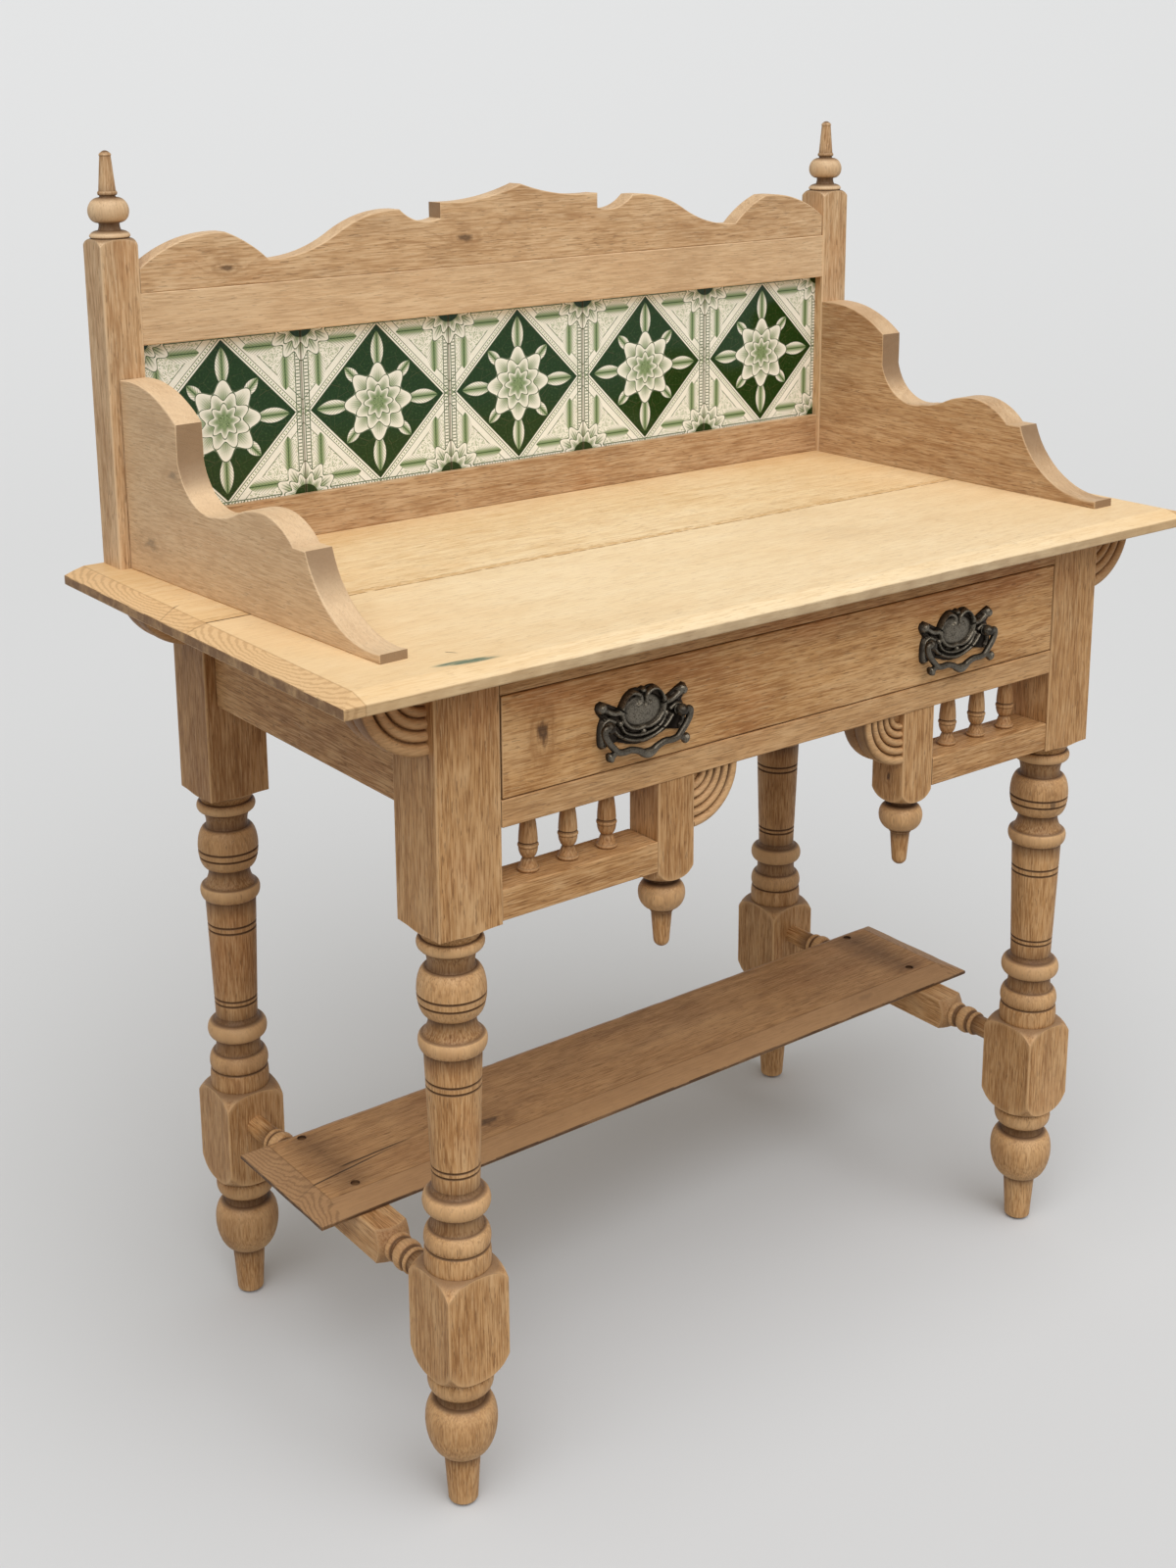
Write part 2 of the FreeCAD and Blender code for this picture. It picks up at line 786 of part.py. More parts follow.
def fan_bracket(name, radius, thickness, corner, side):
    """A quarter of a turned roundel, centred on the corner, with ridged rings round a flat middle."""
    body = new_body(name)
    core = radius * FAN_CORE
    ring = (radius - core) / FAN_RINGS
    step = (S.fan_dish - S.fan_ring_relief) / FAN_RINGS
    stations = [(0, S.fan_dish), (core, S.fan_dish)]
    for index in range(FAN_RINGS):
        depth = S.fan_dish - step * (index + 1)
        inner = core + ring * index
        stations.append((inner + ring / 2, depth - S.fan_ring_relief))
        stations.append((inner + ring, depth))
    stations.append((radius, thickness))
    stations.append((0, thickness))
    lathe(body, [stations], "Roundel", "XY_Plane", 90, cuts=False)
    if side < 0:
        turn(body, (0, 1, 0), 90)
    return place(body, *corner)


# Top and undershelf


def bevelled_slab(name, low, high, bevels, drop):
    """A board whose upper edges are bevelled: bevels are the widths at left, right, front and rear."""
    shoulder = high[2] - drop
    left, right, front, rear = bevels
    slab = box(f"{name}_slab", low, (high[0], high[1], shoulder))
    face = DOC.addObject("Part::Wedge", f"{name}_face")
    turn(face, (1, 0, 0), 90)
    bind(face, Xmin=low[0], Xmax=high[0], Zmin=-high[1], Zmax=-low[1], Ymin=0, Ymax=drop)
    bind(face, X2min=low[0] + left, X2max=high[0] - right, Z2min=-high[1] + rear, Z2max=-low[1] - front)
    place(face, 0, 0, shoulder)
    return fuse(f"{name}_blank", [slab, face])


def top_boards():
    """The two edge-glued boards of the top, bevelled at the ends and the front."""
    front = bevelled_slab(
        "top_board_front",
        (-TOP_HALF, -REAR_EDGE, UNDER_TOP),
        (TOP_HALF, SEAM, S.top_height),
        (S.top_bevel, S.top_bevel, S.top_bevel, 0),
        S.top_bevel_drop,
    )
    rear = bevelled_slab(
        "top_board_rear",
        (-TOP_HALF, SEAM, UNDER_TOP),
        (TOP_HALF, REAR_EDGE, S.top_height),
        (S.top_bevel, S.top_bevel, 0, 0),
        S.top_bevel_drop,
    )
    return front, rear


def shelf_blank():
    """The undershelf, bevelled on all four sides."""
    half = LEG_OUTER + S.shelf_overhang
    return bevelled_slab(
        "shelf",
        (-half, SHELF_FRONT, SHELF_UNDER),
        (half, SHELF_REAR, SHELF_TOP),
        (S.shelf_bevel, S.shelf_bevel, S.shelf_bevel, S.shelf_bevel),
        S.shelf_bevel_drop,
    )


def stretcher_blank(name, side):
    """A side stretcher: square in the middle under the shelf, turned to a ringed neck at each end."""
    body = new_body(name)
    between = REAR_LEG_FRONT - LEG_BACK
    total = between + S.stretcher_pin * 2
    square_stock(body, S.stretcher_size, total)
    clear = S.stretcher_size * CLEAR
    free = (between - S.stretcher_block) / 2
    end = Turning(S.stretcher_neck_radius, total)
    neck = S.stretcher_pin + free - S.stretcher_slope - S.stretcher_neck - S.stretcher_ring
    end.run(S.stretcher_neck_radius, neck)
    end.ring(S.stretcher_ring_radius, S.stretcher_ring)
    end.run(S.stretcher_neck_radius, S.bead_ease + S.stretcher_neck)
    end.run(clear, S.stretcher_slope)
    end.stations.append((clear, total))
    lathe(body, [end.stations, end.turned_end_for_end(total)], "Ends")
    turn(body, (1, 0, 0), -90)
    return place(body, LEG_AXIS * side, LEG_BACK - S.stretcher_pin, STRETCHER_AXIS)


def shelf_pins(name, length, top):
    """Four upright cylinders where the shelf is screwed to the stretchers."""
    pins = []
    rows = {"front": SHELF_FRONT + S.screw_front_inset, "rear": SHELF_REAR - S.screw_rear_inset}
    for label, side in SIDES.items():
        for end, y in rows.items():
            pin = cylinder(f"{name}_{end}_{label}", S.screw_radius, length)
            pins.append(place(pin, LEG_AXIS * side, y, top - length))
    return pins


# Tiled upstand


def post_blank(name, side):
    """A square post with a turned finial and a stub tenon into the top."""
    body = new_body(name)
    square = HIGH_RAIL_TOP + S.crest_end_height + S.post_reveal - S.top_height
    total = square + S.post_slope + S.post_flange + S.post_neck + S.post_ball + S.spike
    square_stock(body, S.post_size, total)
    clear = S.post_size * CLEAR
    tip = Turning(S.spike_tip_radius, total)
    tip.run(S.spike_radius, S.spike)
    tip.ball(S.post_ball_radius, S.post_ball)
    tip.run(S.post_neck_radius, S.post_ball * SHOULDER_LENGTH + S.post_neck / 2)
    tip.run(S.post_flange_radius, S.post_neck / 2 + S.post_flange / 2)
    tip.run(S.post_flange_radius - S.bead_sink, S.post_flange / 2)
    tip.run(clear, S.post_slope)
    tip.stations.append((clear, total))
    lathe(body, [tip.stations], "Finial")
    middle = POST_FRONT + S.post_size / 2
    place(body, POST_AXIS * side, middle, S.top_height)
    half = S.post_tenon / 2
    tongue = box(
        f"{name}_tenon",
        (POST_AXIS * side - half, middle - half, UNDER_TOP),
        (POST_AXIS * side + half, middle + half, S.top_height),
    )
    return fuse(f"{name}_whole", [body, tongue])


def upstand_rail(name, front, bottom, top):
    """A rail between the posts, tongued into them and rebated behind for the tiles."""
    rail = box(f"{name}_rail", (-POST_INNER, front, bottom), (POST_INNER, PANEL_BACK, top))
    reach = POST_INNER + S.upstand_tenon
    shoulder = (top - bottom) / 4
    tongue = box(
        f"{name}_tenon",
        (-reach, TILE_FACE, bottom + shoulder),
        (reach, TILE_BACK, top - shoulder),
    )
    return fuse(f"{name}_blank", [rail, tongue])


def tile(index):
    """One glazed tile with eased face edges."""
    name = f"tile_{index + 1}"
    left = -PANEL_HALF + TILE_PITCH * index
    body = box(
        f"{name}_body",
        (left, TILE_FACE + S.tile_edge, TILE_BOTTOM),
        (left + S.tile_size, TILE_BACK, TILE_TOP),
    )
    face = DOC.addObject("Part::Wedge", f"{name}_face")
    ease = S.tile_edge
    right = left + S.tile_size
    bind(face, Xmin=left + ease, Xmax=right - ease, Zmin=TILE_BOTTOM + ease, Zmax=TILE_TOP - ease)
    bind(face, X2min=left, X2max=right, Z2min=TILE_BOTTOM, Z2max=TILE_TOP)
    bind(face, Ymin=TILE_FACE, Ymax=TILE_FACE + ease)
    return fuse(name, [body, face])


def panel_space(name):
    """The room that the tiles and the board behind them take."""
    return box(name, (-PANEL_HALF, TILE_FACE, TILE_BOTTOM), (PANEL_HALF, PANEL_BACK, TILE_TOP))


def cresting():
    """The scrolled board on the top rail, symmetrical about its rounded peak."""
    body = new_body("cresting")
    end = POST_INNER - S.crest_end_gap
    half_way = (S.crest_hump_place + S.crest_valley_place) / 2
    half_height = (S.crest_hump_height + S.crest_valley_height) / 2
    right = [
        (S.crest_step_place, S.crest_shoulder_height),
        (S.crest_step_place, S.crest_step_height, 0.28),
        (S.crest_hump_place, S.crest_hump_height, -0.16),
        (half_way, half_height, 0.14),
        (S.crest_valley_place, S.crest_valley_height, -0.1),
        (S.crest_lobe_place, S.crest_lobe_height, -0.18),
        (end, S.crest_end_height),
        (end, 0),
    ]
    outline = [(0, S.crest_peak_height, 0.1)] + right + mirrored_run(right, 0.1)
    pad(body, [outline], "XZ_Plane", S.crest_thickness)
    return place(body, 0, POST_FRONT + S.crest_recess, HIGH_RAIL_TOP)


def mirrored_run(right, last_bulge):
    """The left half of an outline, from a right half that was followed down to its foot."""
    left = []
    for index in range(len(right) - 1, 0, -1):
        before = right[index - 1]
        left.append((-term(right[index][0]), right[index][1], before[2] if len(before) > 2 else 0))
    left.append((-term(right[0][0]), right[0][1], last_bulge))
    return left


def side_gallery_blank(name, side):
    """A shaped gallery board, its rear inner lower corner at the origin and its length towards -Y."""
    body = new_body(name)
    outline = [
        (0, 0),
        (0, S.side_gallery_back, 0.2),
        (-S.shoulder_reach, S.side_gallery_shoulder),
        (-S.shoulder_reach, S.side_gallery_step, -0.42),
        (-S.valley_reach, S.side_gallery_valley, -0.1),
        (-(S.valley_reach + S.hump_reach) / 2, (S.side_gallery_valley + S.side_gallery_hump) / 2, 0.1),
        (-S.hump_reach, S.side_gallery_hump, 0.22),
        (-S.ledge_reach, S.side_gallery_ledge),
        (-S.ledge_reach - S.ledge_width, S.side_gallery_ledge, -0.36),
        (-S.side_gallery_length, S.side_gallery_tip),
        (-S.side_gallery_length, 0),
    ]
    pad(body, [outline], "YZ_Plane", S.side_gallery_thickness, flipped=side < 0)
    return body


def tenoned_gallery(name, side):
    """A gallery board with two stub tenons into the top."""
    pieces = [side_gallery_blank(f"{name}_board", side)]
    middle = S.side_gallery_thickness / 2 * side
    for label, reach in (("rear", S.rear_tenon_reach), ("front", S.front_tenon_reach)):
        low = (
            middle - S.gallery_tenon_thickness / 2,
            -reach - S.gallery_tenon_width / 2,
            -S.gallery_tenon_depth,
        )
        high = (middle + S.gallery_tenon_thickness / 2, -reach + S.gallery_tenon_width / 2, 0)
        pieces.append(box(f"{name}_tenon_{label}", low, high))
    return fuse(name, pieces)


def stand_gallery(piece, side):
    """Stand a gallery at its post: the right square to it, the left swung in a little."""
    if side < 0:
        piece.Placement = FreeCAD.Placement(FreeCAD.Vector(), FreeCAD.Rotation(FreeCAD.Vector(0, 0, 1), 1))
        piece.setExpression("Placement.Rotation.Angle", S.left_gallery_swing.text)
    return place(piece, POST_INNER * side, POST_FRONT, S.top_height)


# Drawer


def drawer_side_blank(name, side):
    """A drawer side with two tails for the front."""
    pieces = [
        mirrored_box(
            f"{name}_board",
            side,
            (DRAWER_INNER, DRAWER_BACK_FACE, SIDE_FOOT),
            (DRAWER_OUTER, DRAWER_END, SIDE_TOP),
        )
    ]
    near, far = (DRAWER_INNER, DRAWER_OUTER) if side > 0 else (-DRAWER_OUTER, -DRAWER_INNER)
    for index, share in enumerate(TAIL_PLACES):
        middle = SIDE_FOOT + (SIDE_TOP - SIDE_FOOT) * share
        tail = DOC.addObject("Part::Wedge", f"{name}_tail_{index}")
        bind(tail, Xmin=near, Xmax=far, Zmin=middle - S.tail_end / 2, Zmax=middle + S.tail_end / 2)
        bind(tail, X2min=near, X2max=far, Z2min=middle - S.tail_root / 2, Z2max=middle + S.tail_root / 2)
        bind(tail, Ymin=DRAWER_BACK_FACE - S.tail_length, Ymax=DRAWER_BACK_FACE)
        pieces.append(tail)
    return fuse(f"{name}_blank", pieces)


def runner(name, side, bottom, top, guide_top=None):
    """A strip along the side rail that carries the drawer, or stops it tipping, with or without a guide."""
    ledge = LEG_INNER - S.runner_ledge
    strip = ((ledge, LEG_BACK, bottom), (SIDE_RAIL_INNER, REAR_LEG_FRONT, top))
    ends = ((ledge, FRONT_RAIL_BACK, bottom), (LEG_INNER, BACK_RAIL_FRONT, top))
    strips = [
        mirrored_box(f"{name}_strip", side, *strip),
        mirrored_box(f"{name}_ends", side, *ends),
    ]
    if guide_top is not None:
        guide = ((LEG_INNER, LEG_BACK, top), (SIDE_RAIL_INNER, REAR_LEG_FRONT, guide_top))
        strips.append(mirrored_box(f"{name}_guide", side, *guide))
    return fuse(name, strips)


def drawer_stops():
    """Two blocks on the drawer rail that meet the back of the drawer front."""
    near = DRAWER_BACK_FACE + S.running_gap
    stops = []
    for name, side in SIDES.items():
        x = S.stop_place * side
        low = (x - S.stop_length / 2, near, OPENING_BOTTOM)
        high = (x + S.stop_length / 2, near + S.stop_width, OPENING_BOTTOM + S.stop_height)
        stops.append(box(f"stop_{name}", low, high))
    return stops


def glue_blocks():
    """Blocks rubbed into the corners between the top and the front and back rails."""
    spots = [(x, BACK_RAIL_FRONT - S.block_size) for x in (-1, 0, 1)]
    spots += [(x, FRONT_RAIL_BACK) for x in (-1, 1)]
    blocks = []
    for index, (share, y) in enumerate(spots):
        x = S.block_place * share
        low = (x - S.block_length / 2, y, OPENING_TOP)
        high = (x + S.block_length / 2, y + S.block_size, UNDER_TOP)
        blocks.append(box(f"block_{index}", low, high))
    return blocks


# Handles


def handle_plate_blank(name, side):
    """A cast back plate: heart-shaped middle, four ears and a shaped lower edge, with a raised boss."""
    body = new_body(f"{name}_sheet")
    ear = S.plate_ear_place
    rise = S.plate_ear_height
    lobe = S.plate_ear_size
    right = [
        (S.plate_heart_width, S.plate_heart_height * 0.5),
        (S.plate_heart_width * 1.3, S.plate_heart_height * 0.36),
        (ear - lobe, rise + lobe * 0.6, -0.6),
        (ear + lobe * 0.9, rise - lobe * 0.6),
        (S.plate_waist, S.stud_rise),
        (ear + lobe * 0.5, -rise * 0.42, -0.6),
        (ear - lobe, -rise * 0.72),
        (S.plate_heart_width, -rise * 0.2, -0.2),
        (S.plate_heart_width * 0.5, -S.plate_drop * 0.72),
    ]
    outline = [(0, S.plate_heart_height, -0.5)] + right + [(0, -S.plate_drop)] + mirrored_run(right, -0.5)
    pad(body, [outline], "XZ_Plane", S.plate_thickness)
    boss = DOC.addObject("Part::Cone", f"{name}_boss")
    bind(boss, Radius1=S.plate_heart_height * 0.55, Radius2=S.plate_heart_height * 0.3, Height=S.boss_relief)
    turn(boss, (1, 0, 0), 90)
    place(boss, 0, 0, S.plate_heart_height * 0.4)
    whole = fuse(f"{name}_blank", [body, boss])
    return place(whole, S.handle_place * side, FRONT - S.plate_thickness, HANDLE_Z)


def handle_studs(name, side):
    """Two square-necked studs through a plate and the drawer front, each with an eye for the bail."""
    studs = []
    half = S.stud_size / 2
    eye = S.eye_size / 2
    for label, hand in SIDES.items():
        x = S.handle_place * side + S.stud_place * hand
        shank = box(
            f"{name}_shank_{label}",
            (x - half, HINGE_Y, HINGE_Z - half),
            (x + half, DRAWER_BACK_FACE + S.nut_height, HINGE_Z + half),
        )
        lug = box(
            f"{name}_lug_{label}",
            (x - eye, HINGE_Y - eye, HINGE_Z - eye),
            (x + eye, HINGE_Y + eye, HINGE_Z + eye),
        )
        solid = fuse(f"{name}_solid_{label}", [shank, lug])
        bore = cylinder(f"{name}_bore_{label}", S.bail_pin_radius + S.pin_clearance, S.eye_size)
        place(turn(bore, (0, 1, 0), 90), x - eye, HINGE_Y, HINGE_Z)
        studs.append(cut(f"{name}_{label}", solid, [bore]))
    return studs


def handle_nuts():
    """A square nut on each stud behind the drawer front."""
    nuts = []
    half = S.nut_size / 2
    for label, side in SIDES.items():
        for hand in SIDES.values():
            x = S.handle_place * side + S.stud_place * hand
            low = (x - half, DRAWER_BACK_FACE, HINGE_Z - half)
            high = (x + half, DRAWER_BACK_FACE + S.nut_height, HINGE_Z + half)
            nuts.append(box(f"nut_{label}_{hand + 1}", low, high))
    return nuts


def wave(start, end):
    """Two arcs from a level start to a level end: the middle station and the bulges of both arcs."""
    across = end[0] - start[0]
    up = end[1] - start[1]
    bulge = math.tan(math.atan2(up.value, across.value) / 2)
    return [(*start, bulge), ((start[0] + end[0]) / 2, (start[1] + end[1]) / 2, -bulge)]


def bail(name, side):
    """A drop bail: pins in the eyes, arms outside them and a waved bar, of an eight-sided rod."""
    arm = S.stud_place + S.eye_size / 2 + S.bail_gap + S.bail_radius
    low = -S.bail_drop
    corner = S.bail_corner
    crest = low + S.bail_rise
    dip = low - S.bail_dip
    inner = arm - corner
    bar = []
    for start, end in (
        ((-inner, low), (-inner / 2, crest)),
        ((-inner / 2, crest), (term(0), dip)),
        ((term(0), dip), (inner / 2, crest)),
        ((inner / 2, crest), (inner, low)),
    ):
        bar += wave(start, end)
    quarter = math.tan(math.pi / 8)
    path = [(-arm, S.bail_radius), (-arm, low + corner, quarter)] + bar
    path += [(inner, low, quarter), (arm, low + corner), (arm, S.bail_radius)]
    spine = DOC.addObject("Sketcher::SketchObject", f"{name}_spine")
    draw(spine, path, closed=False)
    DOC.recompute()
    section = DOC.addObject("Part::RegularPolygon", f"{name}_section")
    section.Polygon = BAIL_SIDES
    bind(section, Circumradius=S.bail_radius)
    place(turn(section, (1, 0, 0), 90), -arm, S.bail_radius, 0)
    rod = DOC.addObject("Part::Sweep", f"{name}_rod")
    rod.Sections = [section]
    rod.Spine = (spine, [f"Edge{index + 1}" for index in range(spine.GeometryCount)])
    rod.Solid = True
    pieces = [rod]
    for label, hand in SIDES.items():
        pin = cylinder(f"{name}_pin_{label}", S.bail_pin_radius, S.bail_radius + S.bail_gap + S.eye_size)
        pieces.append(place(turn(pin, (0, 1, 0), -90 * hand), arm * hand, 0, 0))
    whole = fuse(name, pieces)
    turn(whole, (1, 0, 0), 90)
    return place(whole, S.handle_place * side, HINGE_Y, HINGE_Z)


# Assembly


def build_underframe(screws):
    """Legs, rails, stretchers, lower galleries and brackets."""
    rails = {
        "side_rail_left": side_rail("side_rail_left", -1),
        "side_rail_right": side_rail("side_rail_right", 1),
        "back_rail": back_rail(),
        "front_top_rail": front_rail("front_top_rail", OPENING_TOP, UNDER_TOP),
    }
    for name, piece in rails.items():
        node(name, piece)
    drawer_rail = front_rail("drawer_rail_blank", DRAWER_RAIL_BOTTOM, OPENING_BOTTOM)
    in_drawer_rail = []
    for label, side in SIDES.items():
        rail = gallery_rail(f"gallery_rail_{label}", side)
        pendant = pendant_blank(f"pendant_{label}_stock", side)
        stretcher = cut(f"stretcher_{label}", stretcher_blank(f"stretcher_{label}_stock", side), screws)
        node(f"stretcher_{label}", stretcher)
        node(f"spindles_{label}", group(f"spindles_{label}", spindles(side)))
        node(f"gallery_rail_{label}", rail)
        node(f"pendant_{label}", cut(f"pendant_{label}", pendant, [rail]))
        in_drawer_rail.append(pendant)
        front_tools = [rails[f"side_rail_{label}"], rails["front_top_rail"], drawer_rail, rail, stretcher]
        rear_tools = [rails[f"side_rail_{label}"], rails["back_rail"], stretcher]
        for end, y, tools in (
            ("front", FRONT + S.leg_size / 2, front_tools),
            ("rear", REAR - S.leg_size / 2, rear_tools),
        ):
            name = f"leg_{end}_{label}"
            blank = place(leg_blank(f"{name}_stock"), LEG_AXIS * side, y, 0)
            node(name, cut(name, blank, tools))
            corner = (LEG_OUTER * side, y - S.leg_size / 2 + S.fan_setback, UNDER_TOP)
            fan = fan_bracket(f"fan_{end}_{label}", S.fan_radius, S.fan_thickness, corner, side)
            node(f"fan_bracket_{end}_{label}", fan)
        corner = (PENDANT_INNER * side, GALLERY_RAIL_FRONT, DRAWER_RAIL_BOTTOM)
        name = f"fan_pendant_{label}"
        fan = fan_bracket(name, S.pendant_fan_radius, S.pendant_fan_thickness, corner, -side)
        node(f"fan_bracket_pendant_{label}", fan)
    node("drawer_rail", cut("drawer_rail", drawer_rail, in_drawer_rail))


def build_shelf(screws):
    """The undershelf and its screws, sunk below its face."""
    wells = shelf_pins("screw_well", S.screw_length, SHELF_TOP)
    node("shelf", cut("shelf", shelf_blank(), wells))
    node("shelf_screws", group("shelf_screws", screws))


def build_upstand():
    """Top boards, posts, rails, tiles, cresting and side galleries."""
    low = upstand_rail("low_rail", POST_FRONT + S.low_rail_recess, S.top_height, LOW_RAIL_TOP)
    high = upstand_rail("high_rail", POST_FRONT + S.high_rail_recess, HIGH_RAIL_BOTTOM, HIGH_RAIL_TOP)
    node("upstand_bottom_rail", cut("upstand_bottom_rail", low, [panel_space("low_rebate")]))
    node("upstand_top_rail", cut("upstand_top_rail", high, [panel_space("high_rebate")]))
    for index in range(TILE_COUNT):
        node(f"tile_{index + 1}", tile(index))
    behind = ((-PANEL_HALF, TILE_BACK, TILE_BOTTOM), (PANEL_HALF, PANEL_BACK, TILE_TOP))
    node("backboard", box("backboard", *behind))
    node("cresting", cresting())
    posts = []
    galleries = []
    for label, side in SIDES.items():
        post = post_blank(f"post_{label}_stock", side)
        posts.append(post)
        node(f"post_{label}", cut(f"post_{label}", post, [low, high, panel_space(f"post_{label}_rebate")]))
        gallery = stand_gallery(tenoned_gallery(f"side_gallery_{label}", side), side)
        galleries.append(node(f"side_gallery_{label}", gallery))
    front, rear = top_boards()
    node("top_board_front", cut("top_board_front", front, galleries))
    node("top_board_rear", cut("top_board_rear", rear, galleries + posts))
    node("glue_blocks", group("glue_blocks", glue_blocks()))


def build_drawer():
    """The drawer, its runners and stops, and the two handles."""
    top = OPENING_TOP - S.drawer_gap
    front = box(
        "drawer_front_board",
        (-DRAWER_OUTER, FRONT, OPENING_BOTTOM + S.drawer_gap),
        (DRAWER_OUTER, DRAWER_BACK_FACE, top),
    )
    back = box(
        "drawer_back",
        (-DRAWER_INNER - S.drawer_groove, DRAWER_BACK_REAR - S.drawer_back_thickness, PANEL_OVER),
        (DRAWER_INNER + S.drawer_groove, DRAWER_BACK_REAR, SIDE_TOP - S.drawer_back_drop),
    )
    bottom = box(
        "drawer_bottom",
        (-DRAWER_INNER - S.drawer_groove, DRAWER_BACK_FACE - S.drawer_groove, PANEL_UNDER),
        (DRAWER_INNER + S.drawer_groove, DRAWER_BACK_REAR, PANEL_OVER),
    )
    node("drawer_back", back)
    node("drawer_bottom", bottom)
    tools = [bottom]
    for label, side in SIDES.items():
        board = drawer_side_blank(f"drawer_side_{label}", side)
        tools.append(board)
        node(f"drawer_side_{label}", cut(f"drawer_side_{label}", board, [back, bottom]))
        low = OPENING_BOTTOM - S.runner_height
        guide = OPENING_BOTTOM + S.guide_height
        node(f"drawer_runner_{label}", runner(f"drawer_runner_{label}", side, low, OPENING_BOTTOM, guide))
        node(f"drawer_kicker_{label}", runner(f"drawer_kicker_{label}", side, OPENING_TOP, UNDER_TOP))
    node("drawer_stops", group("drawer_stops", drawer_stops()))
    nuts = handle_nuts()
    all_studs = []
    for label, side in SIDES.items():
        studs = handle_studs(f"stud_{label}", side)
        all_studs += studs
        plate = handle_plate_blank(f"handle_plate_{label}", side)
        node(f"handle_plate_{label}", cut(f"handle_plate_{label}", plate, studs))
        node(f"handle_studs_{label}", group(f"handle_studs_{label}", studs))
        node(f"handle_bail_{label}", bail(f"bail_{label}", side))
    node("handle_nuts", cut("handle_nuts", group("nut_blanks", nuts), all_studs))
    node("drawer_front", cut("drawer_front", front, tools + all_studs))


def check_document():
    """Stop if any object failed or any node's shape is empty or broken."""
    for piece in DOC.Objects:
        if "Invalid" in piece.State or "Error" in piece.State:
            raise RuntimeError(f"{piece.Label} failed: {piece.State}")
    for name, piece in NODES.items():
        shape = piece.Shape
        if shape.isNull() or not shape.isValid() or not shape.Solids:
            raise RuntimeError(f"{name} has no sound shape")


def export_nodes():
    """Write each node's solids to its own file."""
    os.makedirs("parts", exist_ok=True)
    for name, piece in NODES.items():
        piece.Shape.exportStep(os.path.join("parts", f"{name}.step"))
    print(f"{len(NODES)} nodes written")


SCREWS = shelf_pins("screw", S.screw_length - S.screw_sink, SHELF_TOP - S.screw_sink)
build_underframe(SCREWS)
build_shelf(SCREWS)
build_upstand()
build_drawer()
DOC.recompute()
check_document()
export_nodes()
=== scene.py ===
"""A stripped-pine washstand with a tiled upstand, dressed for a studio picture.

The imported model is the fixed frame. Each wooden, glazed or cast piece that shows is made again here as a
finer surface in its node's place, and the pieces inside keep their nodes and get a finish. Lengths are in
millimetres in the part's own frame: X along the front, Y from front to back, Z up. Points become metres
when a mesh is made.
"""

import logging
import math
from collections.abc import Callable, Sequence
from dataclasses import dataclass
from enum import Enum
from typing import NamedTuple

import bmesh
import bpy
import numpy as np
from bpy.types import ID, Material, Mesh, Node, NodeSocket, NodeTree, Object
from mathutils import Matrix, Vector
from mathutils.geometry import delaunay_2d_cdt
from numpy.typing import NDArray

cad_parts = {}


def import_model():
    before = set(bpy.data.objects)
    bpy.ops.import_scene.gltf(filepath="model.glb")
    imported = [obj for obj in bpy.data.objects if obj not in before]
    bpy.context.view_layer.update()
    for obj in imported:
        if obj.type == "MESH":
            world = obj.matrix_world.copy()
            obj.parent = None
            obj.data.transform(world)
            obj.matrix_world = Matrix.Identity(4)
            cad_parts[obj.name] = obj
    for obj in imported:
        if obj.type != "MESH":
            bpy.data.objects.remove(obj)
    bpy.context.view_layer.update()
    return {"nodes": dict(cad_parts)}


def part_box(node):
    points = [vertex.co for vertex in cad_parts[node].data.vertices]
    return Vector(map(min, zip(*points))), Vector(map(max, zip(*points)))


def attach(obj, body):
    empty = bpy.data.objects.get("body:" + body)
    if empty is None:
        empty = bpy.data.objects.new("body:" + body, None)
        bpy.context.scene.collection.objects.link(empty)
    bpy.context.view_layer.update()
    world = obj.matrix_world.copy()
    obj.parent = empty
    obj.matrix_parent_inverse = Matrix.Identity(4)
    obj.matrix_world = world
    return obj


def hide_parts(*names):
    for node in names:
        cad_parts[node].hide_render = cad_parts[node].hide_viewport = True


LOG = logging.getLogger("washstand")
MM = 0.001

Array = NDArray[np.float64]
Indices = NDArray[np.int64]
Pair = tuple[float, float]
Point = tuple[float, float, float]
Station = tuple[float, ...]
Colour = tuple[int, int, int]
Lay = Callable[[Array], Array]
# A turned outline: its radii and its heights.
Outline = tuple[Array, Array]
# A step down a turned outline: its length, the radius half way (none on a taper), its last radius, its rows.
Turning = tuple[float, float | None, float, int]

SIDES = {"left": -1, "right": 1}
# Turns a row of places to the right and up into the same places on the left.
MIRROR = np.array([-1.0, 1.0])

# How near an incised line is looked at, for the dirt and painted shade in it.
NARROW = 2.0


class Axis(Enum):
    """The way that the grain of a piece runs."""

    X = 0
    Y = 1
    Z = 2

    @property
    def order(self) -> list[int]:
        """The two directions across the grain, then the one along it."""
        return [(self.value + 1) % 3, (self.value + 2) % 3, self.value]


@dataclass(frozen=True)
class LogCut:
    """How a piece was sawn from its log.

    Attributes:
        axis: The way of the grain.
        heart: Where the log's heart lies across the grain, from the middle of the piece.
        shift: How far along the log the piece was taken, so that no two pieces share a figure.
        tone: How much paler the board is than others of its finish, or darker where it is below 0. On the
            rear legs the darkening is painted shade, and on the left gallery the paleness is painted light.
    """

    axis: Axis
    heart: Pair = (40.0, -70.0)
    shift: float = 0.0
    tone: float = 0.0

    def marks(self, points: Array) -> dict[str, Array]:
        """What a wood finish reads at each point.

        Args:
            points: The piece's points.

        Returns:
            Each point's place across and along the log from its heart, the tone, and the way of the grain.
        """
        middle = (points.min(axis=0) + points.max(axis=0)) / 2
        across = (points - middle)[:, self.axis.order]
        return {
            "log": across - np.array([*self.heart, -self.shift]),
            "tone": np.full(len(points), self.tone),
            "along": np.tile(np.eye(3)[self.axis.value], (len(points), 1)),
        }


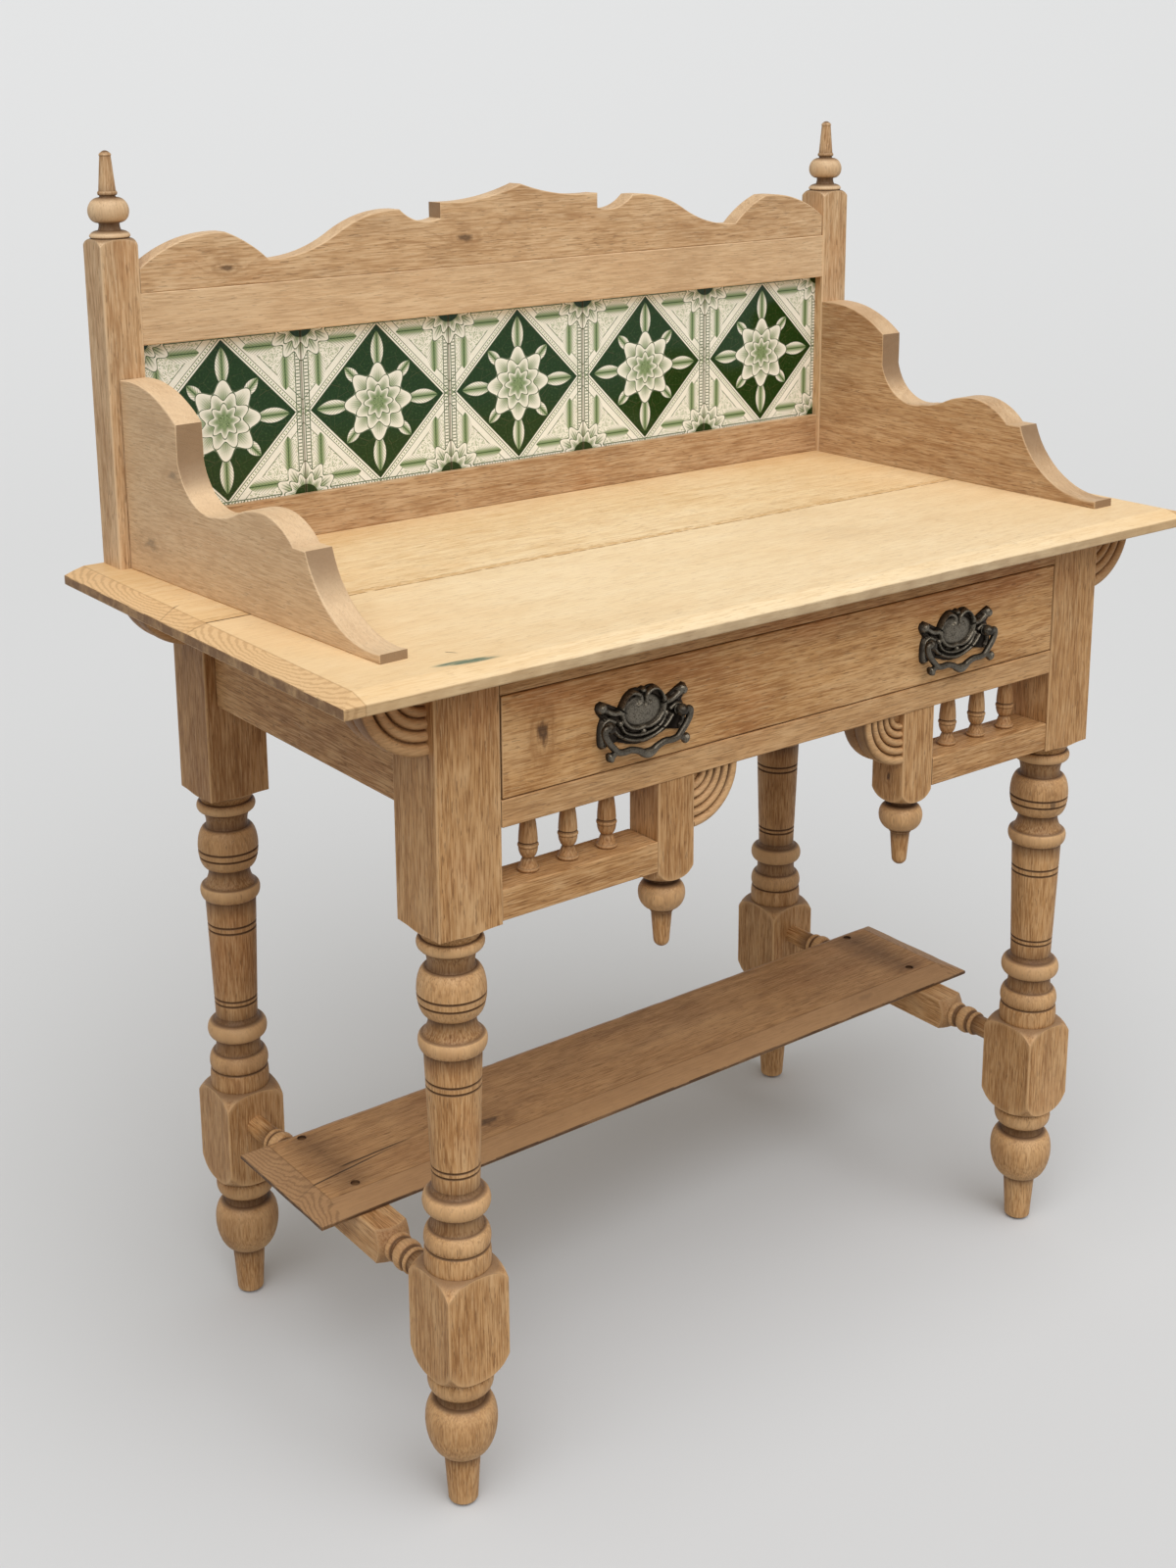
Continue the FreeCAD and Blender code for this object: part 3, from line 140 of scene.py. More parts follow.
def wander(points: Array, scale: float) -> Array:
    """An even, repeatable unevenness: three sine waves of a point's place, of unlike lengths, added up.

    Args:
        points: Points, one to a row.
        scale: The length of the longest wave.

    Returns:
        A number from about -1 to 1 for each point.
    """
    turn = 2 * np.pi / scale
    first = np.sin(points @ np.array([1.0, 1.3, 0.7]) * turn + 0.4)
    second = np.sin(points @ np.array([2.3, -1.1, 1.9]) * turn + 1.9)
    third = np.sin(points @ np.array([-4.1, 3.7, 4.6]) * turn + 3.1)
    return 0.5 * first + 0.3 * second + 0.2 * third


def mark(mesh: Mesh, name: str, values: Array) -> None:
    """Write a number or a vector at each point of a mesh."""
    kind, key = ("FLOAT_VECTOR", "vector") if values.ndim == 2 else ("FLOAT", "value")
    layer = mesh.attributes.new(name, kind, "POINT")
    layer.data.foreach_set(key, values.astype(np.float32).ravel())


class Skin:
    """A closed surface that grows from grids and caps, with marks of use and of painted shade at each point.
    """

    def __init__(self) -> None:
        """Start with no points."""
        self.points: list[Array] = []
        self.wear: list[Array] = []
        self.grime_and_shade: list[Array] = []
        self.faces: list[list[int]] = []
        self.count = 0

    def grid(self, points: Array, wear: Array | float = 0.0, grime_and_shade: Array | float = 0.0) -> Indices:
        """Add a grid of four-sided faces whose last column joins the first.

        Args:
            points: Rows by columns by three.
            wear: How worn each point is, from 0 to 1.
            grime_and_shade: How dirty each point is, with painted shade in hollows, from 0 to 1.

        Returns:
            The number of each point, in rows and columns.
        """
        rows, columns = points.shape[:2]
        index = self.count + np.arange(rows * columns).reshape(rows, columns)
        self.points.append(points.reshape(-1, 3))
        self.wear.append(np.broadcast_to(wear, (rows, columns)).ravel())
        self.grime_and_shade.append(np.broadcast_to(grime_and_shade, (rows, columns)).ravel())
        after = np.roll(index, -1, axis=1)
        quads = np.stack([index[:-1], after[:-1], after[1:], index[1:]], axis=-1)
        self.faces.extend(quads.reshape(-1, 4).tolist())
        self.count += rows * columns
        return index

    def cap(self, ring: Indices) -> None:
        """Close a ring of points with one face."""
        self.faces.append(ring.tolist())

    def closed_grid(self, points: Array, wear: Array | float = 0.0, grime_and_shade: Array | float = 0.0) -> None:
        """Add a grid of rings, closed at both ends."""
        index = self.grid(points, wear, grime_and_shade)
        self.cap(index[0])
        self.cap(index[-1])

    def piece(
        self,
        node: str,
        work: str,
        finish: "Finish",
        cut: LogCut | None = None,
        body: str = "stand",
        crease: float = 32.0,
        marks: dict[str, Array] | None = None,
    ) -> Object:
        """Make the surface an object of the scene that stands for a node of the frame.

        Args:
            node: The node.
            work: How the piece was worked, which ends the object's name.
            finish: What it is finished with.
            cut: How it was sawn, for wood.
            body: The body that it rides on.
            crease: The angle in degrees past which an edge is sharp.
            marks: More numbers or vectors to write at the points.

        Returns:
            The object.
        """
        name = f"{node}_{work}"
        points = np.concatenate(self.points)
        mesh = bpy.data.meshes.new(name)
        mesh.from_pydata(points * MM, [], self.faces)
        shell = bmesh.new()
        shell.from_mesh(mesh)
        bmesh.ops.recalc_face_normals(shell, faces=shell.faces)
        shell.to_mesh(mesh)
        shell.free()
        layers = {"wear": np.concatenate(self.wear), "grime_and_shade": np.concatenate(self.grime_and_shade), **(marks or {})}
        if cut is not None:
            layers |= cut.marks(points)
        for key, values in layers.items():
            mark(mesh, key, values)
        smooth(mesh)
        mesh.set_sharp_from_angle(angle=math.radians(crease))
        piece = put_in_scene(name, mesh)
        mesh.materials.append(finish.material())
        flats = piece.modifiers.new("even_flats", "WEIGHTED_NORMAL")
        flats.keep_sharp = True
        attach(piece, body)
        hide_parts(node)
        LOG.info("%s: %d faces", name, len(self.faces))
        return piece


def smooth(mesh: Mesh) -> None:
    """Shade every face smooth."""
    mesh.polygons.foreach_set("use_smooth", np.ones(len(mesh.polygons), dtype=bool))


def put_in_scene(name: str, data: ID) -> Object:
    """An object of the scene for a mesh, a lamp or a camera."""
    made = bpy.data.objects.new(name, data)
    bpy.context.scene.collection.objects.link(made)
    return made


def node_box(node: str) -> tuple[Array, Array]:
    """The lowest and highest corner of a node, in millimetres."""
    low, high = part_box(node)
    return np.array(low) / MM, np.array(high) / MM


# Turned work


class Profile:
    """A turned outline, followed down from the top."""

    def __init__(self, height: float, radius: float) -> None:
        """Start at a height with a radius."""
        self.heights = [np.array([height])]
        self.radii = [np.array([radius])]

    def swell(self, length: float, crest: float, end: float, steps: int = 12) -> "Profile":
        """Go down over a bead, a ball or a hollow.

        The radius follows the straight line between both edges, plus the crest's height above that line's
        middle times the square root of 1 - (2t - 1) squared, so the swelling is half an ellipse.

        Args:
            length: How far down it goes.
            crest: The radius half way.
            end: The radius at its lower edge.
            steps: How many rows it has.

        Returns:
            The profile itself.
        """
        start = self.radii[-1][-1]
        share = (1 - np.cos(np.linspace(0, np.pi, steps + 1)[1:])) / 2
        bulge = np.sqrt(np.clip(1 - (2 * share - 1) ** 2, 0, 1))
        self.radii.append(start + (end - start) * share + (crest - (start + end) / 2) * bulge)
        self.heights.append(self.heights[-1][-1] - length * share)
        return self

    def taper(self, length: float, end: float, steps: int = 4) -> "Profile":
        """Go down in a straight line to a radius.

        Args:
            length: How far down it goes.
            end: The radius at its lower edge.
            steps: Its rows.

        Returns:
            The profile itself.
        """
        share = np.linspace(0, 1, steps + 1)[1:]
        start = self.radii[-1][-1]
        self.radii.append(start + (end - start) * share)
        self.heights.append(self.heights[-1][-1] - length * share)
        return self

    def nose(self, length: float, steps: int = 6) -> "Profile":
        """Round a tip off to a point, as a quarter of an ellipse.

        Args:
            length: How far down it goes.
            steps: Its rows.

        Returns:
            The profile itself.
        """
        angle = np.linspace(0, np.pi / 2, steps + 1)[1:]
        start = self.radii[-1][-1]
        self.radii.append(np.maximum(start * np.cos(angle), start * 0.12))
        self.heights.append(self.heights[-1][-1] - length * np.sin(angle))
        return self

    def follow(self, turnings: Sequence[Turning], unit: float = 1.0) -> "Profile":
        """Go down over beads, hollows and tapers in turn, with their lengths in a unit.

        Args:
            turnings: The steps, in order.
            unit: The unit of their lengths.

        Returns:
            The profile itself.
        """
        for length, crest, end, steps in turnings:
            if crest is None:
                self.taper(length * unit, end, steps)
            else:
                self.swell(length * unit, crest, end, steps)
        return self

    def rows(self) -> Outline:
        """The radii and heights, from the top down."""
        return np.concatenate(self.radii), np.concatenate(self.heights)


def incised(radii: Array, heights: Array, lines: Sequence[float], depth: float, width: float) -> Outline:
    """Cut narrow lines round a turned outline.

    Args:
        radii: The outline's radii, from the top down.
        heights: Its heights.
        lines: The heights of the lines.
        depth: How deep each line is.
        width: How wide each line is.

    Returns:
        The radii and heights with the lines cut in.
    """
    steps = np.array([-0.5, -0.44, -0.26, 0.26, 0.44, 0.5]) * width
    depths = np.array([0.0, 0.12, 1.0, 1.0, 0.12, 0.0]) * depth
    extra = (np.array(lines)[:, None] - steps[None, :]).ravel()
    ground = np.interp(-extra, -heights, radii)
    low = np.array(lines)[:, None] - width / 2
    high = np.array(lines)[:, None] + width / 2
    clear = ~np.any((heights > low) & (heights < high), axis=0)
    all_heights = np.concatenate([heights[clear], extra])
    all_radii = np.concatenate([radii[clear], ground - np.tile(depths, len(lines))])
    order = np.argsort(-all_heights, kind="stable")
    return all_radii[order], all_heights[order]


def relief_marks(radii: Array, heights: Array, spread: float = 8.0) -> Outline:
    """Wear on the crowns of a turned outline, and grime with painted shade in its hollows and incised lines.

    Each radius is compared with the mean of the outline within a spread above and below it, weighted by a
    bell curve: what stands proud is worn, and what lies back is dirty and darkened as painted shade.

    Args:
        radii: The outline's radii.
        heights: Its heights.
        spread: The width of the bell curve.

    Returns:
        Wear, and grime with painted shade, at each height, from 0 to 1.
    """
    even = np.linspace(heights.min(), heights.max(), 900)
    level = np.interp(even, heights[::-1], radii[::-1])
    proud = []
    for width in (spread, NARROW):
        weight = np.exp(-(((heights[:, None] - even[None, :]) / width) ** 2))
        proud.append(radii - (weight @ level) / weight.sum(axis=1))
    dirt_and_shade = np.maximum(-proud[0] / 2.2, (-proud[1] - 0.12) / 0.5)
    return np.clip(proud[0] / 2.5, 0, 1), np.clip(dirt_and_shade, 0, 1)


def square_section(half: float, ease: float, flats: int = 13, turns: int = 4) -> tuple[Array, Array, Array]:
    """Points round the section of square stock with eased arrises.

    Each quarter is a flat followed by a quarter circle, and the other three are that one turned.

    Args:
        half: Half its width.
        ease: The radius of its arrises.
        flats: How many steps each flat has.
        turns: How many steps each arris has.

    Returns:
        Each point's distance from the middle, its angle, and its wear.
    """
    reach = half - ease
    flat = np.concatenate([[-reach], np.linspace(0.9 - reach, reach - 0.9, flats), [reach]])
    bend = np.linspace(0, np.pi / 2, turns + 1)[1:-1]
    x = np.concatenate([np.full_like(flat, half), reach + ease * np.cos(bend)])
    y = np.concatenate([flat, reach + ease * np.sin(bend)])
    worn = np.concatenate([np.zeros_like(flat), np.ones_like(bend)])
    worn[[0, flats + 1]] = 0.7
    angle = np.concatenate([np.arctan2(y, x) + turn * np.pi / 2 for turn in range(4)])
    return np.tile(np.hypot(x, y), 4), angle, np.tile(worn, 4)


class TurnedStock:
    """Square stock turned on a lathe in a node's place, as rings of points followed down from the top.

    Attributes:
        high: The node's highest corner.
        clear: A radius just outside the corners of the square, where a turned shoulder starts.
    """

    def __init__(self, node: str, axis: Axis, ease: float = 1.0, clearance: float = 1.04) -> None:
        """Start with a section and no rows.

        Args:
            node: The node.
            axis: The way that the stock runs.
            ease: The radius of its arrises.
            clearance: How many times further out than the corners a turned shoulder starts.
        """
        self.node = node
        self.axis = axis
        self.low, self.high = node_box(node)
        half = (self.high[0] - self.low[0]) / 2
        self.clear = half * math.sqrt(2) * clearance
        self.flat, self.angle, self.arris = square_section(half, ease)
        self.rows: list[tuple[Array, ...]] = []

    def _add(self, *values: Array) -> None:
        """Add rows of radius, height, wear, and grime with painted shade."""
        shape = np.broadcast_shapes(*(value.shape for value in values), (1, len(self.angle)))
        self.rows.append(tuple(np.broadcast_to(value, shape) for value in values))

    def block(self, top: float, bottom: float) -> None:
        """Leave the stock square between two heights.

        Args:
            top: The upper height.
            bottom: The lower one.
        """
        heights = np.linspace(top, bottom, 6)[:, None]
        grime_and_shade = np.zeros_like(heights)
        self._add(self.flat[None, :], heights, self.arris[None, :] * 0.9, grime_and_shade)

    def end(self, height: float, inset: float, drop: float) -> None:
        """Start with a sawn end whose edge is eased.

        Args:
            height: Where it is.
            inset: How far in its edge starts.
            drop: How far down the ease goes.
        """
        rows = np.array([height, height - drop])[:, None]
        radius = self.flat[None, :] - np.array([inset, 0.0])[:, None]
        self._add(radius, rows, self.arris[None, :] * 0.9, np.zeros_like(rows))

    def turned(self, radii: Array, heights: Array) -> None:
        """Turn the stock to an outline."""
        # Wear on the crowns, and grime with painted shade in the hollows and lines.
        wear, grime_and_shade = relief_marks(radii, heights)
        self._add(radii[:, None], heights[:, None], wear[:, None], grime_and_shade[:, None])

    def shoulder(self, radii: Array, heights: Array, rows: int = 8) -> None:
        """Run the square out into a turned outline, or a turned outline into the square.

        The outline cuts each line down the stock where its radius equals the square's distance there. One
        row of points lies along that crease, with rows on the flat on one side of it and turned rows on
        the other.

        Args:
            radii: The outline's radii, all rising or all falling.
            heights: Its heights, from the top down.
            rows: How many rows each part has.
        """
        falling = radii[0] > radii[-1]
        share = np.linspace(0, 1, len(radii))
        known, places = (radii[::-1], share[::-1]) if falling else (radii, share)
        crease = np.interp(self.flat, known, places)[None, :]
        step = np.linspace(0, 1, rows)[:, None]
        parts = (crease * step, crease + (1 - crease) * step[1:])
        for number, part in enumerate(parts):
            height = np.interp(part, share, heights)
            on_flat = (number == 0) == falling
            radius = np.broadcast_to(self.flat[None, :], part.shape)
            if not on_flat:
                radius = np.interp(part, share, radii)
            near = np.exp(-(((part - crease) / 0.12) ** 2)) * 0.7
            wear = np.maximum(near, self.arris[None, :] * 0.8 * on_flat)
            self._add(radius, height, wear, np.zeros_like(part))

    def piece(self, finish: "Finish", cut: LogCut) -> Object:
        """Stand the rings along the axis through the node's middle, close both ends and make the object.

        Args:
            finish: What it is finished with.
            cut: How it was sawn.

        Returns:
            The object.
        """
        radius, height, wear, grime_and_shade = (np.concatenate(rows) for rows in zip(*self.rows))
        middle = (self.low + self.high) / 2
        skin = Skin()
        skin.closed_grid(rings_about(self.axis, middle, radius, self.angle, height), wear, grime_and_shade)
        return skin.piece(self.node, "turned", finish, cut)


def rings_about(axis: Axis, middle: Array, radius: Array, angle: Array, height: Array) -> Array:
    """Rings of points about an axis: across it lie the radius times the cosine and the sine of the angle.

    Args:
        axis: The axis.
        middle: A point that it goes through.
        radius: Each point's distance from it, in rows.
        angle: The angles round a ring.
        height: Each point's place along it, in rows.

    Returns:
        Rows by columns by three.
    """
    first, second, along = axis.order
    points = np.empty((len(radius), len(angle), 3))
    points[..., first] = middle[first] + radius * np.cos(angle)
    points[..., second] = middle[second] + radius * np.sin(angle)
    points[..., along] = height
    return points


def around(steps: int) -> Array:
    """Even angles round a circle."""
    return np.linspace(0, 2 * np.pi, steps, endpoint=False)


# Boards


def arc_outline(stations: Sequence[Station], steps: int = 14) -> Array:
    """A closed outline through stations, with straight runs and arcs.

    A station is (u, v) or (u, v, bulge), where the bulge belongs to the run that follows: the height of
    its arc over half its chord, positive to the right of the way that it goes. A point of the arc lies at
    the chord's middle, turned about the arc's centre.

    Args:
        stations: The corners, in order.
        steps: How many steps each arc has.

    Returns:
        The outline's points, one to a row.
    """
    runs = []
    for number, station in enumerate(stations):
        start = np.array(station[:2])
        end = np.array(stations[(number + 1) % len(stations)][:2])
        bulge = station[2] if len(station) > 2 else 0.0
        if not bulge:
            runs.append(start[None, :])
            continue
        chord = end - start
        side = np.array([chord[1], -chord[0]])
        half_angle = 2 * math.atan(bulge)
        centre = (start + end) / 2 - side * (1 / math.tan(half_angle)) / 2
        sweep = np.linspace(0, 2 * half_angle, steps + 1)[:-1]
        spoke = start - centre
        across = np.array([-spoke[1], spoke[0]])
        runs.append(centre + np.cos(sweep)[:, None] * spoke + np.sin(sweep)[:, None] * across)
    return np.concatenate(runs)


def finer(outline: Array, step: float) -> Array:
    """Divide an outline's long runs into even steps no longer than a length.

    Args:
        outline: The outline.
        step: The longest step.

    Returns:
        The finer outline.
    """
    following = np.roll(outline, -1, axis=0)
    counts = np.maximum(1, np.ceil(np.linalg.norm(following - outline, axis=1) / step)).astype(int)
    start = np.repeat(outline, counts, axis=0)
    chord = np.repeat(following - outline, counts, axis=0)
    first = np.repeat(np.cumsum(counts) - counts, counts)
    share = (np.arange(counts.sum()) - first) / np.repeat(counts, counts)
    return start + chord * share[:, None]


def inset(outline: Array, amounts: Array) -> Array:
    """Move an outline that runs anticlockwise inwards, by an amount at each point along its mitre.

    Args:
        outline: The outline.
        amounts: How far each point moves.

    Returns:
        The moved outline.
    """
    before = outline - np.roll(outline, 1, axis=0)
    after = np.roll(before, -1, axis=0)
    normals = [np.stack([-run[:, 1], run[:, 0]], axis=1) for run in (before, after)]
    first, second = [normal / np.linalg.norm(normal, axis=1)[:, None] for normal in normals]
    mitre = (first + second) / np.maximum(1 + (first * second).sum(axis=1), 0.35)[:, None]
    return outline + mitre * amounts[:, None]


def anticlockwise(outline: Array) -> Array:
    """The outline, turned round if it runs clockwise."""
    following = np.roll(outline, -1, axis=0)
    area = (outline[:, 0] * following[:, 1] - following[:, 0] * outline[:, 1]).sum()
    return outline if area > 0 else outline[::-1]


def board(
    outline: Array, low: float, high: float, lay: Lay, ease: float = 1.2, edge_wear: float = 0.0
) -> Skin:
    """A flat board with rounded arrises.

    The outline is carried along a quarter circle at each face: at an angle the ring is drawn in by the
    ease times 1 - sine and lies in from the face by the ease times 1 - cosine. The ease varies along the
    edge.

    Args:
        outline: The board's outline, one point to a row.
        low: Where one face lies across the board.
        high: Where the other lies.
        lay: Turns (along, up, across) into the part's frame.
        ease: The radius of the arrises.
        edge_wear: How worn the sawn edge itself is.

    Returns:
        The board's surface.
    """
    ring = anticlockwise(finer(outline, 12.0))
    across = np.concatenate([ring, np.zeros((len(ring), 1))], axis=1)
    amount = ease * (1 + 0.5 * wander(lay(across), 160.0))
    angles = np.linspace(0, np.pi / 2, 5)
    rings = []
    for face, inwards, turns in ((low, 1, angles), (high, -1, angles[::-1])):
        for angle in turns:
            depth = face + inwards * amount * (1 - math.cos(angle))
            rings.append(lay(np.column_stack([inset(ring, amount * (1 - math.sin(angle))), depth])))
    half = np.maximum(np.sin(2 * angles), edge_wear * np.sin(angles) ** 8)
    worn = np.concatenate([half, half[::-1]])[:, None]
    skin = Skin()
    skin.closed_grid(np.stack(rings), worn * (0.65 + 0.35 * wander(lay(across), 90.0)))
    return skin


def rectangle(low: Sequence[float], high: Sequence[float], ease: float) -> Array:
    """A rectangle with rounded corners.

    Args:
        low: Its lower left corner.
        high: Its upper right corner.
        ease: The corners' radius.

    Returns:
        Its outline.
    """
    bulge = math.tan(math.pi / 8)
    left, bottom = low
    right, top = high
    stations = [
        (left + ease, bottom),
        (right - ease, bottom, bulge),
        (right, bottom + ease),
        (right, top - ease, bulge),
        (right - ease, top),
        (left + ease, top, bulge),
        (left, top - ease),
        (left, bottom + ease, bulge),
    ]
    return arc_outline(stations, 4)


def eased_box(low: Array, high: Array, axis: Axis, ease: float = 1.2) -> Skin:
    """A box whose twelve edges are rounded, with its outline drawn across an axis.

    Args:
        low: The lowest corner.
        high: The highest.
        axis: The axis.
        ease: The edges' radius.

    Returns:
        The box's surface.
    """
    first, second, along = axis.order

    def lay(points: Array) -> Array:
        """Put an outline's three directions in their places."""
        placed = np.empty_like(points)
        placed[:, [first, second, along]] = points
        return placed

    outline = rectangle(low[[first, second]], high[[first, second]], ease)
    return board(outline, low[along], high[along], lay, ease)


@dataclass(frozen=True)
class Bevels:
    """How far each side of a slab's upper face is bevelled back, and how deep the bevel goes."""

    left: float
    right: float
    front: float
    rear: float
    drop: float


def bevelled_slab(low: Array, high: Array, bevels: Bevels, holes: Sequence[Pair] = ()) -> Skin:
    """A slab with bevelled upper edges, worn arrises and any round holes in its upper face.

    Rings run up round the slab: two for the lower arris, two for the edge, four for the bevel. Each ring
    is the slab's rectangle drawn in by its own amount on each side, and wanders a little as a worn edge
    does.

    Args:
        low: The lowest corner.
        high: The highest corner.
        bevels: The bevels of its sides.
        holes: The middles of screw holes.

    Returns:
        The slab's surface.
    """
    sides = np.array([bevels.left, bevels.right, bevels.front, bevels.rear])
    size = (high - low)[:2]
    share = finer(np.array([[0.0, 0.0], [1.0, 0.0], [1.0, 1.0], [0.0, 1.0]]) * size, 9.0) / size
    shoulder = high[2] - bevels.drop
    seam = np.where(sides > 0, 1.0, 0.25)
    # Each row: height, inset on each side, wear, and grime with painted shade on the lower arris and the
    # edge.
    rows = [
        (low[2], 1.0 * seam, 0.0, 0.6),
        (low[2] + 1.0, 0.0 * seam, 0.8, 0.9),
        (shoulder - 0.9, 0.0 * seam, 0.2, 0.75),
        (shoulder - 0.25, 0.25 * seam, 1.0, 0.3),
        (shoulder + 0.25, 1.0 * seam + sides * 0.05, 0.9, 0.0),
        (shoulder + bevels.drop * 0.5, sides * 0.5, 0.0, 0.0),
        (high[2] - 0.3, sides * 0.96 + 0.06 * seam, 0.1, 0.0),
        (high[2], sides * 1.03 + 0.2 * seam, 0.25, 0.0),
    ]
    height, insets, wear, grime_and_shade = (np.array(part) for part in zip(*rows))
    near = insets[:, None, 0::2]
    far = insets[:, None, 1::2]
    rings = np.empty((len(height), len(share), 3))
    rings[..., :2] = low[:2] + near + share * (size - near - far)
    rings[..., 2] = height[:, None]
    rough = np.clip(wander(rings, 70.0), 0, 1) * wear[:, None] * 0.8
    rings[..., :2] -= np.sign(rings[..., :2] - (low + high)[:2] / 2) * rough[..., None]
    worn = np.clip(wear[:, None] * (0.6 + 0.4 * wander(rings, 45.0)), 0, 1)
    dirt_and_shade = np.clip(grime_and_shade[:, None] * (0.75 + 0.5 * wander(rings, 38.0)), 0, 1)
    skin = Skin()
    index = skin.grid(rings, worn, dirt_and_shade)
    skin.cap(index[0])
    if holes:
        pierce(skin, rings[-1], index[-1], holes)
    else:
        skin.cap(index[-1])
    return skin


def pierce(skin: Skin, rim: Array, rim_index: Indices, holes: Sequence[Pair]) -> None:
    """Close a level rim with a face that has round holes, and sink a wall below each hole.

    Args:
        skin: The surface that the rim belongs to.
        rim: The rim's points.
        rim_index: Their numbers.
        holes: The holes' middles.
    """
    radius = 4.0
    depth = 2.2
    angle = np.linspace(0, 2 * np.pi, 24, endpoint=False)
    loops = [rim[:, :2]]
    numbers = [rim_index]
    for x, y in holes:
        wall = np.stack([x + radius * np.cos(angle), y + radius * np.sin(angle)], axis=1)
        levels = [np.column_stack([wall, np.full(len(angle), rim[0, 2] - drop)]) for drop in (0.0, depth)]
        # The hole's wall is darkened towards its bottom with grime and painted shade.
        index = skin.grid(np.stack(levels), 0.0, np.array([[0.6], [1.0]]))
        skin.cap(index[1])
        loops.append(wall)
        numbers.append(index[0])
    flat = np.concatenate(loops)
    ends = np.cumsum([len(loop) for loop in loops])
    rings = [list(range(end - len(loop), end)) for loop, end in zip(loops, ends)]
    corners = [Vector(point) for point in flat]
    places, _, triangles, sources, _, _ = delaunay_2d_cdt(corners, [], rings, 1, 1e-5)
    known = np.concatenate(numbers)
    origins = np.array([known[source[0]] for source in sources])
    middles = np.array(places)[np.array(triangles)].mean(axis=1)
    away = np.linalg.norm(middles[:, None, :] - np.array(holes)[None, :, :], axis=2).min(axis=1)
    skin.faces.extend(origins[np.array(triangles)[away > radius]].tolist())


# Node trees


class Field:
    """A number that varies over a surface: the output of a node, with arithmetic that adds more nodes."""

    def __init__(self, tree: NodeTree, socket: NodeSocket) -> None:
        """Hold an output and the nodes that it belongs to."""
        self.tree = tree
        self.socket = socket

    def math(self, operation: str, *operands: "Number") -> "Field":
        """Add one arithmetic node.

        Args:
            operation: The node's operation.
            operands: What it works on, in order.

        Returns:
            Its result.
        """
        node = self.tree.nodes.new("ShaderNodeMath")
        node.operation = operation
        for socket, operand in zip(node.inputs, operands):
            plug(self.tree, socket, operand)
        return Field(self.tree, node.outputs[0])

    def __add__(self, other: "Number") -> "Field":
        """The sum."""
        return self.math("ADD", self, other)

    __radd__ = __add__

    def __sub__(self, other: "Number") -> "Field":
        """The difference."""
        return self.math("SUBTRACT", self, other)

    def __rsub__(self, other: float) -> "Field":
        """The difference from a number."""
        return self.math("SUBTRACT", other, self)

    def __mul__(self, other: "Number") -> "Field":
        """The product."""
        return self.math("MULTIPLY", self, other)

    __rmul__ = __mul__

    def __truediv__(self, other: "Number") -> "Field":
        """The quotient."""
        return self.math("DIVIDE", self, other)

    def __abs__(self) -> "Field":
        """The size without its sign."""
        return self.math("ABSOLUTE", self)

    def root(self) -> "Field":
        """The square root."""
        return self.math("SQRT", self)

    def fraction(self) -> "Field":
        """What is left over the whole number below."""
        return self.math("FRACT", self)

    def whole(self) -> "Field":
        """The whole number below."""
        return self.math("FLOOR", self)

    def sine(self) -> "Field":
        """The sine."""
        return self.math("SINE", self)

    def cosine(self) -> "Field":
        """The cosine."""
        return self.math("COSINE", self)

    def least(self, other: "Number") -> "Field":
        """The smaller of two."""
        return self.math("MINIMUM", self, other)

    def most(self, other: "Number") -> "Field":
        """The larger of two."""
        return self.math("MAXIMUM", self, other)

    def angle_from(self, across: "Field") -> "Field":
        """The angle whose tangent is this over another."""
        return self.math("ARCTAN2", self, across)

    def rise(self, low: "Number", high: "Number") -> "Field":
        """Go smoothly from 0 at one value to 1 at another."""
        node = self.tree.nodes.new("ShaderNodeMapRange")
        node.interpolation_type = "SMOOTHSTEP"
        for name, value in (("Value", self), ("From Min", low), ("From Max", high)):
            plug(self.tree, node.inputs[name], value)
        return Field(self.tree, node.outputs[0])

    def fall(self, low: "Number", high: "Number") -> "Field":
        """Go smoothly from 1 at one value to 0 at another."""
        return 1.0 - self.rise(low, high)

    def line(self, middle: float, half: float, soft: float) -> "Field":
        """1 within half a width of a value, falling to 0 over a soft edge."""
        return abs(self - middle).fall(half, half + soft)


Number = Field | float
Fields = tuple[Field, Field, Field]
Source = Number | NodeSocket


def plug(tree: NodeTree, socket: NodeSocket, value: Source) -> None:
    """Join a field or an output to a socket, or set the socket to a value."""
    source = value.socket if isinstance(value, Field) else value
    if isinstance(source, NodeSocket):
        tree.links.new(source, socket)
    else:
        socket.default_value = source


def linear(colour: Colour) -> tuple[float, float, float, float]:
    """A screen colour of 0 to 255 in each channel as the light that it stands for."""
    share = np.array(colour) / 255
    light = np.where(share <= 0.04045, share / 12.92, ((share + 0.055) / 1.055) ** 2.4)
    return (float(light[0]), float(light[1]), float(light[2]), 1.0)


Tint = Colour | NodeSocket


